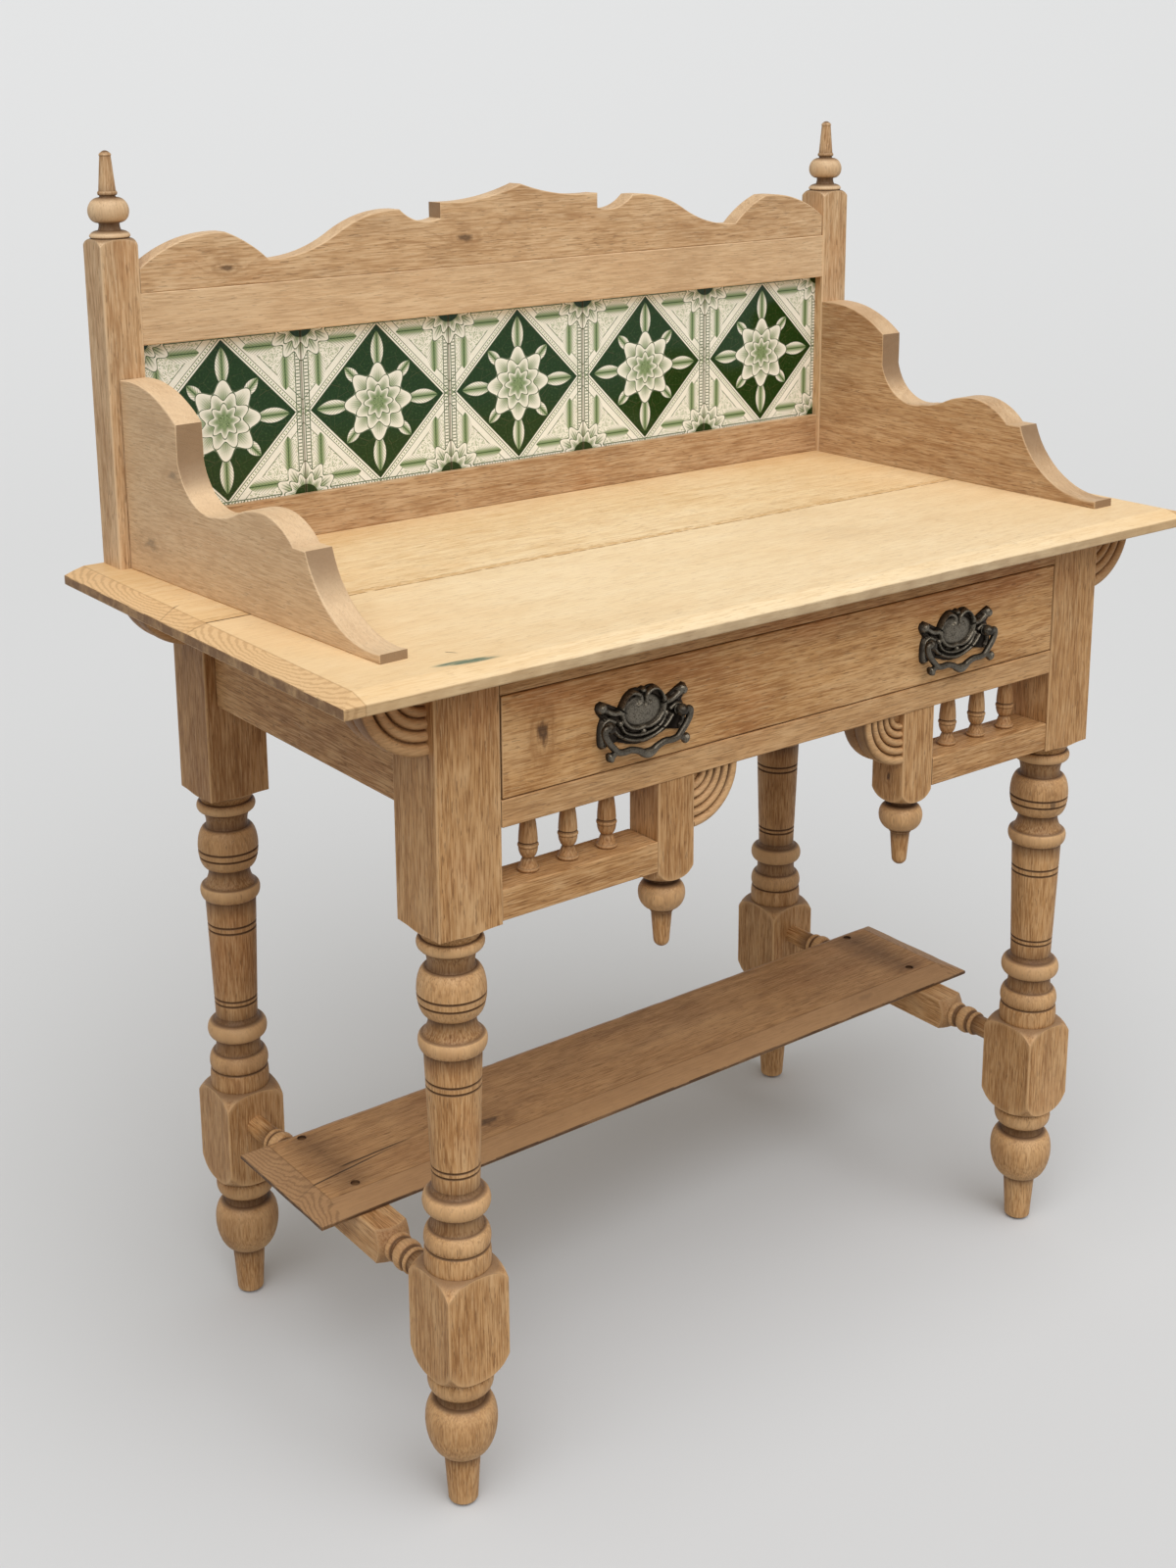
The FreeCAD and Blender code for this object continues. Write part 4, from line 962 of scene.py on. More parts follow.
class Palette:
    """A material's nodes, with short words for the ones that the finishes use."""

    def __init__(self, name: str) -> None:
        """Start a material with its usual shader."""
        self.made = bpy.data.materials.new(name)
        self.made.use_nodes = True
        self.tree = self.made.node_tree
        self.shader = self.tree.nodes["Principled BSDF"]

    def _node(self, kind: str, **inputs: Source) -> Node:
        """A new node with some of its inputs joined or set."""
        node = self.tree.nodes.new(f"ShaderNode{kind}")
        for name, value in inputs.items():
            plug(self.tree, node.inputs[name], value)
        return node

    def _split(self, vector: NodeSocket) -> Fields:
        """The three parts of a vector."""
        return tuple(Field(self.tree, output) for output in self._node("SeparateXYZ", Vector=vector).outputs)

    def attribute(self, name: str) -> Node:
        """A node that reads a mark of the mesh."""
        node = self._node("Attribute")
        node.attribute_name = name
        return node

    def mark(self, name: str) -> Field:
        """A number marked on the mesh."""
        return Field(self.tree, self.attribute(name).outputs["Fac"])

    def vector_mark(self, name: str) -> Fields:
        """A vector marked on the mesh."""
        return self._split(self.attribute(name).outputs["Vector"])

    def place(self) -> Fields:
        """Where a point is, in millimetres."""
        return tuple(part / MM for part in self._split(self._node("TexCoord").outputs["Object"]))

    def normal(self) -> Fields:
        """The way that the surface faces."""
        return self._split(self._node("NewGeometry").outputs["Normal"])

    def join(self, parts: Sequence[Number]) -> NodeSocket:
        """Three numbers as a vector."""
        return self._node("CombineXYZ", **dict(zip("XYZ", parts))).outputs[0]

    def noise(self, parts: Sequence[Number], detail: float = 2.0, rough: float = 0.5) -> Field:
        """Cloudy noise of a place, about 0.5, with lumps one unit across."""
        node = self._node("TexNoise", Vector=self.join(parts), Scale=1.0, Detail=detail, Roughness=rough)
        return Field(self.tree, node.outputs[0])

    def grain(self, place: Sequence[Field], noise: "Noise") -> Field:
        """A noise of the wood at a place in the log.

        Args:
            place: The place in the log.
            noise: The kind of noise.

        Returns:
            The noise there.
        """
        scales = (noise.across, noise.across, noise.along)
        parts = [part * scale for part, scale in zip(place, scales)]
        moved = [part + shift if shift else part for part, shift in zip(parts, noise.shift)]
        return self.noise(moved, noise.detail, noise.rough)

    def cells(self, parts: Sequence[Number], feature: str = "F1") -> Field:
        """The distance to the nearest of scattered points, or to the edge of its cell."""
        node = self._node("TexVoronoi", Vector=self.join(parts), Scale=1.0)
        node.feature = feature
        return Field(self.tree, node.outputs["Distance"])

    def mix(self, amount: Number, first: Tint, second: Tint) -> NodeSocket:
        """Blend from one colour to another.

        Args:
            amount: How far to go.
            first: The colour at 0.
            second: The colour at 1.

        Returns:
            The blend.
        """
        node = self._node("Mix")
        node.data_type = "RGBA"
        tints = [linear(tint) if isinstance(tint, tuple) else tint for tint in (first, second)]
        for number, value in zip((0, 6, 7), (amount, *tints)):
            plug(self.tree, node.inputs[number], value)
        return node.outputs[2]

    def layers(self, tint: Tint, *coats: tuple[Number, Tint]) -> Tint:
        """Lay coats of colour over another in turn, each by its own amount."""
        for amount, coat in coats:
            tint = self.mix(amount, tint, coat)
        return tint

    def colour(self, tint: NodeSocket) -> None:
        """Give the surface its colour."""
        self.set("Base Color", tint)

    def set(self, name: str, value: Source) -> None:
        """Give the surface one of its other properties."""
        plug(self.tree, self.shader.inputs[name], value)

    def bump(self, height: Field, depth: float, strength: float = 1.0) -> None:
        """Raise and lower the surface by a field, over a depth in millimetres."""
        node = self._node("Bump", Strength=strength, Distance=depth * MM, Height=height)
        self.set("Normal", node.outputs[0])


# Finishes


class Finish:
    """What a piece is finished with: a named material, made once, and the name of a slot."""

    name: str
    slot: str

    def material(self) -> Material:
        """The finish's material, made when it is first asked for."""
        known = bpy.data.materials.get(self.name)
        return known if known is not None else self._make()

    def _make(self) -> Material:
        """Build the material."""
        raise NotImplementedError


class Noise(NamedTuple):
    """A noise in wood: lumps to a millimetre across and along the grain, shift, detail and roughness."""

    across: float
    along: float
    shift: Point = (0.0, 0.0, 0.0)
    detail: float = 2.0
    rough: float = 0.5


WOOD_NOISES = {
    "drift": Noise(0.004, 0.0021),
    "second_drift": Noise(0.004, 0.0024, (7.0, 0.0, 3.0)),
    "ripple": Noise(0.03, 0.008),
    "fibre": Noise(0.9, 0.05, rough=0.55),
    "streak": Noise(0.12, 0.007, (0.0, 0.0, 5.0)),
    "cloud": Noise(0.06, 0.022, (0.0, 0.0, 2.0), 5.0, 0.68),
    "fleck": Noise(0.8, 0.1, (9.0, 0.0, 0.0), 1.0),
    "blotch": Noise(0.012, 0.006, detail=3.0, rough=0.55),
    "stain": Noise(0.03, 0.011, (4.0, 0.0, 0.0)),
    "glow": Noise(0.016, 0.009, (0.0, 8.0, 0.0)),
}
HEART_DRIFT = 60.0
KNOT_BARK: Colour = (112, 76, 48)
KNOT_HEART: Colour = (62, 41, 27)
CRACK: Colour = (56, 37, 23)
# Where end grain starts to show and where it is full, as the share of a face that lies across the grain.
END_GRAIN = (0.6, 0.95)


@dataclass(frozen=True)
class Knot:
    """A knot: its middle on the surface, the radius of its dark heart, and the way of the grain round it."""

    place: Point
    radius: float
    axis: Axis


@dataclass(frozen=True)
class Smear:
    """A smear of old paint on a level face: its middle, half its length and width, and its colour."""

    place: Pair
    half: Pair
    colour: Colour


@dataclass(frozen=True)
class BevelLook:
    """Where a board's bevels start, from the middle and at the front, with the colours of bevel and edge.

    The bevel's colour is partly the grain cut across and partly painted light and shade for its slope, and
    the edge's colour is painted shade on the upright faces. The front edge takes only a share of that painted
    shade.
    """

    start: float
    front: float
    tint: Colour
    edge: Colour
    front_edge_shade: float = 1.0


@dataclass(frozen=True)
class Pine(Finish):
    """Old waxed pine.

    Attributes:
        early: The pale wood of spring.
        late: The dark lines of summer.
        pale: Where use has worn it.
        dark: Where dirt and wax have gathered; it is also laid on as painted shade in hollows, lines and
            holes, and on the rear legs.
        warm: Where old varnish has stayed in the wood.
        end: Sawn end grain.
        ring: The mean width of a year's growth.
        figure: How strongly the years show.
        blotch: How much the wax and age vary over it.
        rough: How matt it is.
        knots: The knots that show in pieces of this finish.
        seam: Where a filled seam runs along a top, across the front.
        cracks: Where cracks start and stop on a level board, as two pairs of X and Y.
        bevels: The look of a board's bevels, with painted light and shade on bevel and edge.
        warm_above: The heights between which old varnish comes in towards the top.
        smear: A smear of paint.
        axis: The way of the grain if it is taken from the object, or none if it is marked on the mesh.
    """

    name: str
    slot: str
    early: Colour
    late: Colour
    pale: Colour
    dark: Colour
    warm: Colour = (172, 108, 58)
    end: Colour = (126, 100, 76)
    ring: float = 5.0
    figure: float = 0.5
    blotch: float = 0.5
    rough: float = 0.5
    knots: tuple[Knot, ...] = ()
    seam: float | None = None
    cracks: tuple[tuple[float, float, float, float], ...] = ()
    bevels: BevelLook | None = None
    warm_above: Pair | None = None
    smear: Smear | None = None
    axis: Axis | None = None

    def _log_place(self, palette: Palette) -> Fields:
        """Across, across and along the grain.

        Args:
            palette: The material's nodes.

        Returns:
            The place in the log, in three parts.
        """
        if self.axis is None:
            return palette.vector_mark("log")
        place = palette.place()
        first, second, along = self.axis.order
        return place[first] + 60.0, place[second] - 45.0, place[along]

    def _end_grain(self, palette: Palette) -> Field:
        """1 where the surface faces along the grain.

        Args:
            palette: The material's nodes.

        Returns:
            The share of end grain.
        """
        normal = palette.normal()
        if self.axis is not None:
            return abs(normal[self.axis.value]).rise(*END_GRAIN)
        parts = [one * other for one, other in zip(normal, palette.vector_mark("along"))]
        return abs(parts[0] + parts[1] + parts[2]).rise(*END_GRAIN)

    def _knot_fields(self, palette: Palette) -> tuple[Number, list[Field]]:
        """How far the knots push the years aside, and the distance from each knot in its radii.

        Args:
            palette: The material's nodes.

        Returns:
            The push, and one distance for each knot.
        """
        push: Number = 0.0
        hearts = []
        place = palette.place()
        for knot in self.knots:
            parts = []
            for axis in Axis:
                stretch = 0.5 if axis is knot.axis else 1.0
                parts.append((place[axis.value] - knot.place[axis.value]) * stretch)
            uneven = (palette.noise([part * 0.16 for part in parts], 3.0, 0.6) - 0.5) * knot.radius * 1.6
            squares = [part * part for part in parts]
            distance = ((squares[0] + squares[1] + squares[2]).root() + uneven) / knot.radius
            push = distance.fall(0.6, 5.0) * 2.6 + push
            hearts.append(distance)
        return push, hearts

    def _make(self) -> Material:
        """Build the wood.

        The years are circles about the log's heart: the distance from it, after the heart has wandered
        along the log, is divided by the width of a year, and what is left over runs from pale to dark and
        drops back. Each year has a strength of its own. Fibres and pores are noise drawn out along the
        grain.

        Returns:
            The material.
        """
        palette = Palette(self.name)
        place = self._log_place(palette)
        noise = {name: palette.grain(place, kind) for name, kind in WOOD_NOISES.items()}
        drifts = (noise["drift"], noise["second_drift"])
        heart = [part + (drift - 0.5) * HEART_DRIFT for part, drift in zip(place, drifts)]
        distance = (heart[0] * heart[0] + heart[1] * heart[1]).root()
        push, knots = self._knot_fields(palette)
        years = distance / self.ring + (noise["ripple"] - 0.5) * 1.5 + push
        share = years.fraction()
        strength = palette.noise([years.whole() * 3.71, 0.5, 0.5], 0.0).rise(0.25, 0.8) * 0.75 + 0.25
        late = share.rise(0.2, 0.86) * share.fall(0.9, 1.0) * strength
        fibre, streak, cloud, blotch, glow = (
            noise[name] for name in ("fibre", "streak", "cloud", "blotch", "glow")
        )
        fleck = noise["fleck"].rise(0.62, 0.72)
        end = self._end_grain(palette)
        sawn = 1.0 - end * 0.7
        tint = palette.layers(
            self.early,
            (late * self.figure * sawn, self.late),
            (streak.rise(0.5, 0.74) * 0.3, self.late),
            (streak.fall(0.28, 0.5) * 0.26, self.pale),
            (cloud.rise(0.5, 0.72) * 0.5, self.late),
            (cloud.fall(0.3, 0.5) * 0.4, self.pale),
            (glow.rise(0.52, 0.76) * self.blotch * 0.7, self.warm),
            (blotch.rise(0.5, 0.74) * self.blotch, self.late),
            (blotch.fall(0.28, 0.5) * self.blotch * 0.8, self.pale),
            (noise["stain"].rise(0.58, 0.78) * self.blotch * 0.4, self.dark),
        )
        if self.warm_above is not None:
            height = palette.place()[2].rise(*self.warm_above)
            tint = palette.mix(height * glow.rise(0.34, 0.62) * 0.6, tint, self.warm)
        tint = palette.layers(
            tint,
            (fibre.rise(0.48, 0.68) * 0.6 * sawn, self.late),
            (fibre.fall(0.32, 0.52) * 0.45 * sawn, self.pale),
            (fleck * 0.4 * sawn, self.dark),
        )
        for from_knot in knots:
            rings = (from_knot * 6.0).sine() * 0.5 + 0.5
            tint = palette.layers(
                tint,
                (from_knot.fall(0.7, 2.8) * (rings * 0.45 + 0.2), self.late),
                (from_knot.fall(0.2, 0.95) * 0.8, palette.mix(rings, KNOT_BARK, KNOT_HEART)),
            )
        if self.axis is None:
            tone = palette.mark("tone")
            tint = palette.layers(
                tint,
                (tone.most(0.0), self.pale),
                ((tone * -1.0).most(0.0), self.dark),
                (palette.mark("wear") * fibre.rise(0.2, 0.6) * 0.7, self.pale),
                (end * 0.75, self.end),
                # Grime with painted shade in hollows, incised lines, holes and along lower edges.
                (palette.mark("grime_and_shade") * 0.75, self.dark),
            )
        palette.colour(self._mishaps(palette, tint, fibre, cloud))
        palette.set("Roughness", fibre * 0.18 + (self.rough - 0.06) + fleck * 0.1)
        palette.set("Specular IOR Level", 0.3)
        palette.bump(fibre * 0.6 - fleck * 0.5 - late * 0.35, 0.3, 0.8)
        return palette.made

    def _mishaps(self, palette: Palette, tint: Tint, fibre: Field, cloud: Field) -> Tint:
        """A filled seam, cracks, bevels with painted light and shade and a rough edge of painted shade, and a
        smear of paint, where a board has them.

        Args:
            palette: The material's nodes.
            tint: The wood's colour so far.
            fibre: The noise of its fibres.
            cloud: The noise of its clouds.

        Returns:
            The colour with the mishaps.
        """
        x, y, _ = palette.place()
        if self.seam is not None:
            tint = self._seam(palette, tint, x, y)
        for start_x, start_y, end_x, end_y in self.cracks:
            length = end_x - start_x
            off = abs(y - start_y - (x - start_x) * ((end_y - start_y) / length))
            reach = x.rise(start_x, start_x + length * 0.1) * x.fall(end_x - length * 0.4, end_x)
            tint = palette.mix(off.fall(0.5, 1.3) * reach * 0.9, tint, CRACK)
        if self.bevels is not None:
            tint = self._bevelled(palette, tint, x, y, cloud)
        if self.smear is not None:
            middle_x, middle_y = self.smear.place
            over = (x - middle_x) / self.smear.half[0]
            aside = (y - middle_y + (x - middle_x) * 0.14) / self.smear.half[1]
            reach = (over * over + aside * aside).root()
            streak = palette.noise([x * 0.05, y * 0.5, 0.0], 2.0)
            amount = reach.fall(0.6, 1.15) * (fibre + streak).rise(0.6, 1.0)
            tint = palette.mix(amount * 0.92, tint, self.smear.colour)
        return tint

    def _seam(self, palette: Palette, tint: Tint, x: Field, y: Field) -> Tint:
        """A paler front board, warmer ends, and a ragged filled strip between two dark lines.

        Args:
            palette: The material's nodes.
            tint: The wood's colour so far.
            x: The place along the top.
            y: The place across it.

        Returns:
            The colour with the seam.
        """
        drift = (palette.noise([x * 0.012, 0.0, 0.0]) - 0.5) * 5.0
        behind = y - self.seam + drift
        ragged = palette.noise([x * 0.11, y * 0.4, 0.0], 3.0)
        strip = behind.rise(-0.6, 0.4) * behind.fall(6.0, 11.0) * ragged.rise(0.38, 0.56)
        return palette.layers(
            tint,
            (y.fall(self.seam - 0.5, self.seam + 0.5) * 0.35, self.pale),
            (abs(x).rise(160.0, 440.0) * 0.4, self.warm),
            (y.rise(50.0, 190.0) * 0.3, self.late),
            (strip * 0.8, self.late),
            (abs(behind).fall(0.3, 1.3) * ragged.rise(0.36, 0.54) * 0.85, self.dark),
            (abs(behind - 9.0).fall(0.2, 1.0) * ragged.rise(0.48, 0.6) * 0.6, self.dark),
        )

    def _bevelled(self, palette: Palette, tint: Tint, x: Field, y: Field, cloud: Field) -> Tint:
        """Bevels with the arcs of the years on the sawn ends, a line where they start, painted light and
        shade on the bevel, and a rough edge of painted shade.

        Args:
            palette: The material's nodes.
            tint: The wood's colour so far.
            x: The place along the board.
            y: The place across it.
            cloud: The noise of the wood's clouds.

        Returns:
            The colour with the bevels.
        """
        look = self.bevels
        out = abs(x) - look.start
        past = out.most(look.front - y)
        off_heart = abs(y) - 100.0
        ring = (out * out * 5.0 + off_heart * off_heart * 0.2).root()
        arcs = (ring * 1.1 + cloud * 14.0).sine().rise(-0.2, 0.9) * out.rise(-0.4, 0.6)
        # The bevel's tint is partly painted light and shade, and the edge coat is painted shade on faces that
        # stand upright.
        facing = [abs(part) for part in palette.normal()]
        at_end = facing[0].rise(0.35, 0.75) * (1.0 - look.front_edge_shade) + look.front_edge_shade
        edge = facing[2].fall(0.35, 0.75) * at_end
        return palette.layers(
            tint,
            (past.rise(-0.4, 0.6) * 0.7, look.tint),
            (arcs * 0.3, self.dark),
            (abs(past).fall(0.2, 1.0) * 0.35, self.dark),
            (edge * (cloud.rise(0.3, 0.6) * 0.5 + 0.4), look.edge),
        )


class Flower(NamedTuple):
    """A printed flower.

    A row of petals has a radius, waves of a depth, and a turn. A petal goes from sage to white between the
    shares of its shade, its veins fade between those of their end, and its dark rim has a place, half a width
    and a soft edge.
    """

    rows: tuple[Point, ...]
    petals: float
    soft: float
    shade: Pair
    veins: float
    vein_end: Pair
    vein_strength: float
    rim: Point


ROSETTE = Flower(
    rows=((31.0, 4.6, 0.0), (22.0, 3.6, math.pi), (13.5, 2.4, 0.0)),
    petals=8.0,
    soft=0.35,
    shade=(0.4, 1.0),
    veins=88.0,
    vein_end=(0.55, 0.9),
    vein_strength=0.55,
    rim=(-0.5, 0.35, 0.35),
)
CORNER_FLOWER = Flower(
    rows=((29.0, 3.6, 0.0), (20.0, 2.8, math.pi)),
    petals=12.0,
    soft=0.3,
    shade=(0.45, 0.95),
    veins=60.0,
    vein_end=(0.65, 0.95),
    vein_strength=0.8,
    rim=(-0.55, 0.4, 0.3),
)


@dataclass(frozen=True)
class TileGlaze(Finish):
    """A glazed tile printed in greens: a dark lozenge with a rosette and leaves, and patterned corners.

    Sage is the middle tone of the print, craze shows in fine cracks of the glaze, and grout along its rim.
    """

    name: str = "printed_glaze"
    slot: str = "tile_glaze"
    half: float = 76.0
    lozenge: float = 69.0
    white: Colour = (252, 252, 243)
    green: Colour = (20, 54, 12)
    sage: Colour = (142, 166, 120)
    line: Colour = (66, 94, 56)
    leaf_green: Colour = (36, 76, 26)
    craze: Colour = (150, 132, 100)
    grout: Colour = (120, 108, 86)

    def _flower(self, palette: Palette, tint: Tint, polar: tuple[Field, Field], flower: Flower) -> Tint:
        """Rows of petals: a row ends where the distance passes a radius that waves with the angle.

        Args:
            palette: The material's nodes.
            tint: The ground's colour.
            polar: The distance from the flower's middle and the angle about it.
            flower: The flower's sizes.

        Returns:
            The colour with the flower.
        """
        reach, angle = polar
        for radius, depth, turn in flower.rows:
            edge = (angle * flower.petals + turn).cosine() * depth + radius
            past = reach - edge
            share = reach / edge
            veins = (angle * flower.veins).sine().rise(0.1, 0.7) * share.fall(*flower.vein_end)
            petal = palette.layers(
                self.sage,
                (share.rise(*flower.shade), self.white),
                (veins * flower.vein_strength, self.line),
                (past.line(*flower.rim), self.line),
            )
            tint = palette.mix(past.fall(-flower.soft, flower.soft), tint, petal)
        return tint

    def _leaf(self, palette: Palette, tint: Tint, along: Field, across: Field, size: Point) -> Tint:
        """A leaf: across its axis it reaches its half width times 1 less the square of the share along it.

        Args:
            palette: The material's nodes.
            tint: The ground's colour.
            along: The place along the leaf's axis.
            across: The distance from that axis.
            size: Where its middle lies along the axis, half its length and half its width.

        Returns:
            The colour with the leaf.
        """
        middle, half_length, half_width = size
        share = (along - middle) / half_length
        edge = (1.0 - share * share) * half_width
        inside = (across - edge).fall(-0.3, 0.3) * abs(share).fall(0.97, 1.0)
        vein = ((along - across * 1.3) * 2.0).sine().rise(0.45, 0.95)
        leaf = palette.layers(
            self.sage,
            ((across / half_width).rise(0.1, 0.8), self.white),
            (vein * 0.5, self.line),
            (across.fall(0.25, 0.7), self.line),
        )
        return palette.mix(inside, tint, leaf)

    def _corners(self, palette: Palette, tint: Tint, from_side: Field, from_end: Field) -> Tint:
        """A leaf each way and a quarter of a flower in each corner, on a stippled panel with thin lines.

        Args:
            palette: The material's nodes.
            tint: The ground's colour.
            from_side: The distance from the nearer upright rim.
            from_end: The distance from the nearer level rim.

        Returns:
            The colour with the corners.
        """
        reach = (from_side * from_side + from_end * from_end).root()
        angle = from_end.angle_from(from_side)
        nearest = from_side.least(from_end)
        farther = from_side.most(from_end)
        both = from_side + from_end
        stipple = palette.cells([from_side * 0.85, from_end * 0.85, 2.0]).fall(0.28, 0.5)
        panel = both.fall(65.5, 66.5) * nearest.rise(6.2, 6.6)
        hatch = (farther * 2.1).sine().rise(0.1, 0.7) * nearest.line(3.9, 1.5, 0.3)
        tint = palette.layers(
            tint,
            (panel * stipple * 0.9, self.sage),
            (both.line(66.0, 0.25, 0.3), self.line),
            (hatch * 0.85, self.line),
            (nearest.line(1.6, 0.28, 0.3), self.line),
            (nearest.line(6.2, 0.28, 0.3), self.line),
        )
        tint = self._leaf(palette, tint, farther, abs(nearest - 16.0), (40.0, 16.0, 7.6))
        tint = self._flower(palette, tint, (reach, angle), CORNER_FLOWER)
        return palette.mix(reach.fall(11.6, 12.2), tint, self.green)

    def _make(self) -> Material:
        """Print the tile from its middle out, by folding it along its axes and diagonals.

        Returns:
            The material.
        """
        palette = Palette(self.name)
        across, up, _ = palette.vector_mark("tile")
        wide = abs(across)
        tall = abs(up)
        diamond = wide + tall
        farther = wide.most(tall)
        reach = (across * across + up * up).root()
        angle = up.angle_from(across)
        smudge = palette.noise([across * 0.5, up * 0.5, 0.0], 3.0)
        clouds = palette.noise([across * 0.05, up * 0.05, 1.0])
        ground = palette.mix(clouds.rise(0.4, 0.8) * 0.15, self.white, self.sage)
        beads = ((wide - tall) * 1.5).sine().rise(0.25, 0.6) * diamond.line(74.5, 1.0, 0.4)
        deep = palette.mix(smudge.rise(0.35, 0.75) * 0.4, self.green, self.leaf_green)
        tint = palette.layers(
            self._corners(palette, ground, self.half - wide, self.half - tall),
            (diamond.line(71.6, 0.3, 0.35), self.line),
            (diamond.line(77.4, 0.22, 0.35), self.line),
            (beads, self.sage),
            (diamond.fall(self.lozenge - 0.25, self.lozenge + 0.25), deep),
        )
        tint = self._leaf(palette, tint, farther, wide.least(tall), (46.0, 17.0, 6.4))
        diagonal = math.sqrt(0.5)
        tint = self._leaf(palette, tint, diamond * diagonal, abs(wide - tall) * diagonal, (37.0, 10.5, 5.2))
        tint = self._flower(palette, tint, (reach, angle), ROSETTE)
        speckle = palette.cells([reach * 0.9, angle * 5.0, 0.0]).rise(0.2, 0.5)
        eye = palette.mix(speckle, self.green, self.sage)
        crack = palette.cells([across * 0.075, up * 0.075, 5.0], "DISTANCE_TO_EDGE").fall(0.002, 0.01)
        tint = palette.layers(
            tint,
            (reach.fall(5.4, 6.0), eye),
            (smudge.rise(0.55, 0.8) * 0.12, self.sage),
            (crack * 0.2, self.craze),
            (farther.rise(74.6, 75.8) * 0.45, self.grout),
        )
        palette.colour(tint)
        palette.set("Roughness", smudge * 0.08 + 0.09)
        palette.set("Specular IOR Level", 0.35)
        palette.bump(palette.noise([across * 0.035, up * 0.035, 9.0]), 0.4, 0.5)
        return palette.made


@dataclass(frozen=True)
class CastMetal(Finish):
    """Dark cast metal, bright where it is rubbed and rusty in its hollows."""

    name: str
    slot: str
    body: Colour = (66, 61, 54)
    bright: Colour = (138, 130, 116)
    rust: Colour = (40, 31, 23)
    rough: float = 0.36

    def _make(self) -> Material:
        """Mix body, rubbed and dirty metal by the marks of use and a fine noise.

        Returns:
            The material.
        """
        palette = Palette(self.name)
        x, y, z = palette.place()
        grain = palette.noise([x * 0.9, y * 0.9, z * 0.9], 3.0)
        cloud = palette.noise([x * 0.13, y * 0.13, z * 0.13], 2.0)
        tint = palette.layers(
            self.body,
            (cloud.rise(0.4, 0.7) * 0.6, self.rust),
            (palette.mark("grime_and_shade") * 0.8, self.rust),
            (palette.mark("wear") * grain.rise(0.25, 0.6) * 0.75, self.bright),
        )
        palette.colour(tint)
        palette.set("Metallic", 0.88)
        palette.set("Roughness", grain * 0.24 + (self.rough - 0.12))
        palette.bump(grain, 0.12, 0.5)
        return palette.made


TOP_PINE = Pine(
    name="waxed_pine_top",
    slot="pine_top",
    early=(238, 211, 166),
    late=(208, 168, 114),
    pale=(248, 229, 194),
    dark=(146, 104, 62),
    warm=(232, 190, 132),
    ring=7.0,
    figure=0.34,
    blotch=0.45,
    seam=3.0,
    # Bevel and edge colours are partly painted light and shade.
    bevels=BevelLook(429.5, -230.0, (222, 184, 136), (112, 78, 48), 0.3),
    cracks=((-447.0, 3.0, -376.0, 3.0), (-447.0, 46.0, -420.0, 62.0), (-332.0, -169.0, -325.0, -177.0)),
    smear=Smear((-333.0, -197.0), (26.0, 5.0), (88, 116, 100)),
)
UPSTAND_PINE = Pine(
    name="waxed_pine_upstand",
    slot="pine_upstand",
    early=(209, 173, 132),
    late=(160, 119, 79),
    pale=(233, 206, 170),
    dark=(98, 68, 44),
    warm=(188, 128, 74),
    ring=4.6,
    figure=0.5,
    knots=(
        Knot((-62.0, 190.6, 948.0), 6.0, Axis.X),
        Knot((-300.0, 190.6, 938.0), 4.5, Axis.X),
        Knot((-400.0, 108.0, 790.0), 6.5, Axis.Y),
        Knot((-402.0, 150.0, 728.0), 8.0, Axis.Y),
    ),
)
FRAME_PINE = Pine(
    name="waxed_pine_frame",
    slot="pine_frame",
    early=(196, 150, 100),
    late=(134, 90, 48),
    pale=(224, 187, 142),
    dark=(76, 48, 28),
    ring=3.4,
    figure=0.42,
    warm_above=(622.0, 682.0),
    knots=(
        Knot((-355.0, 184.0, 640.0), 7.0, Axis.Z),
        Knot((318.0, -186.0, 434.0), 5.0, Axis.Z),
        Knot((116.0, -172.0, 505.0), 3.2, Axis.Z),
    ),
)
DRAWER_PINE = Pine(
    name="waxed_pine_drawer",
    slot="pine_drawer",
    early=(208, 160, 106),
    late=(147, 98, 52),
    pale=(230, 192, 144),
    dark=(88, 55, 30),
    ring=6.0,
    figure=0.36,
    blotch=0.62,
    warm_above=(628.0, 664.0),
    knots=(Knot((-262.0, -189.0, 630.0), 8.0, Axis.Z),),
)
SHELF_PINE = Pine(
    name="waxed_pine_shelf",
    slot="pine_shelf",
    early=(182, 138, 92),
    late=(127, 89, 55),
    pale=(204, 162, 116),
    dark=(72, 48, 31),
    warm=(150, 100, 62),
    ring=5.2,
    figure=0.5,
    blotch=0.6,
    rough=0.56,
    # Bevel and edge colours are partly painted light and shade.
    bevels=BevelLook(356.5, -19.0, (172, 136, 100), (66, 44, 29)),
    cracks=((-378.0, 4.5, -262.0, 19.5), (-328.0, 18.0, -245.0, 22.0)),
    knots=(
        Knot((-184.0, 3.0, 204.5), 9.0, Axis.X),
        Knot((250.0, -26.0, 200.0), 7.0, Axis.X),
    ),
)


def inside_pine(axis: Axis) -> Pine:
    """Bare pine for the pieces inside, with its grain along an axis.

    Args:
        axis: The axis.

    Returns:
        The finish.
    """
    return Pine(
        name=f"bare_pine_{axis.name.lower()}",
        slot="pine_inside",
        early=(198, 162, 112),
        late=(160, 116, 70),
        pale=(214, 182, 136),
        dark=(104, 74, 46),
        figure=0.5,
        rough=0.62,
        axis=axis,
    )


GLAZE = TileGlaze()
DARK_CAST = CastMetal("dark_cast", "dark_brass")
DULL_STEEL = CastMetal("dull_steel", "steel", (96, 90, 82), (150, 144, 134), (58, 44, 32), 0.5)


# Sub-assemblies


# The angles in degrees past which an edge is sharp on planed boards and on castings.
PLANED_CREASE = 9.0
CAST_CREASE = 60.0


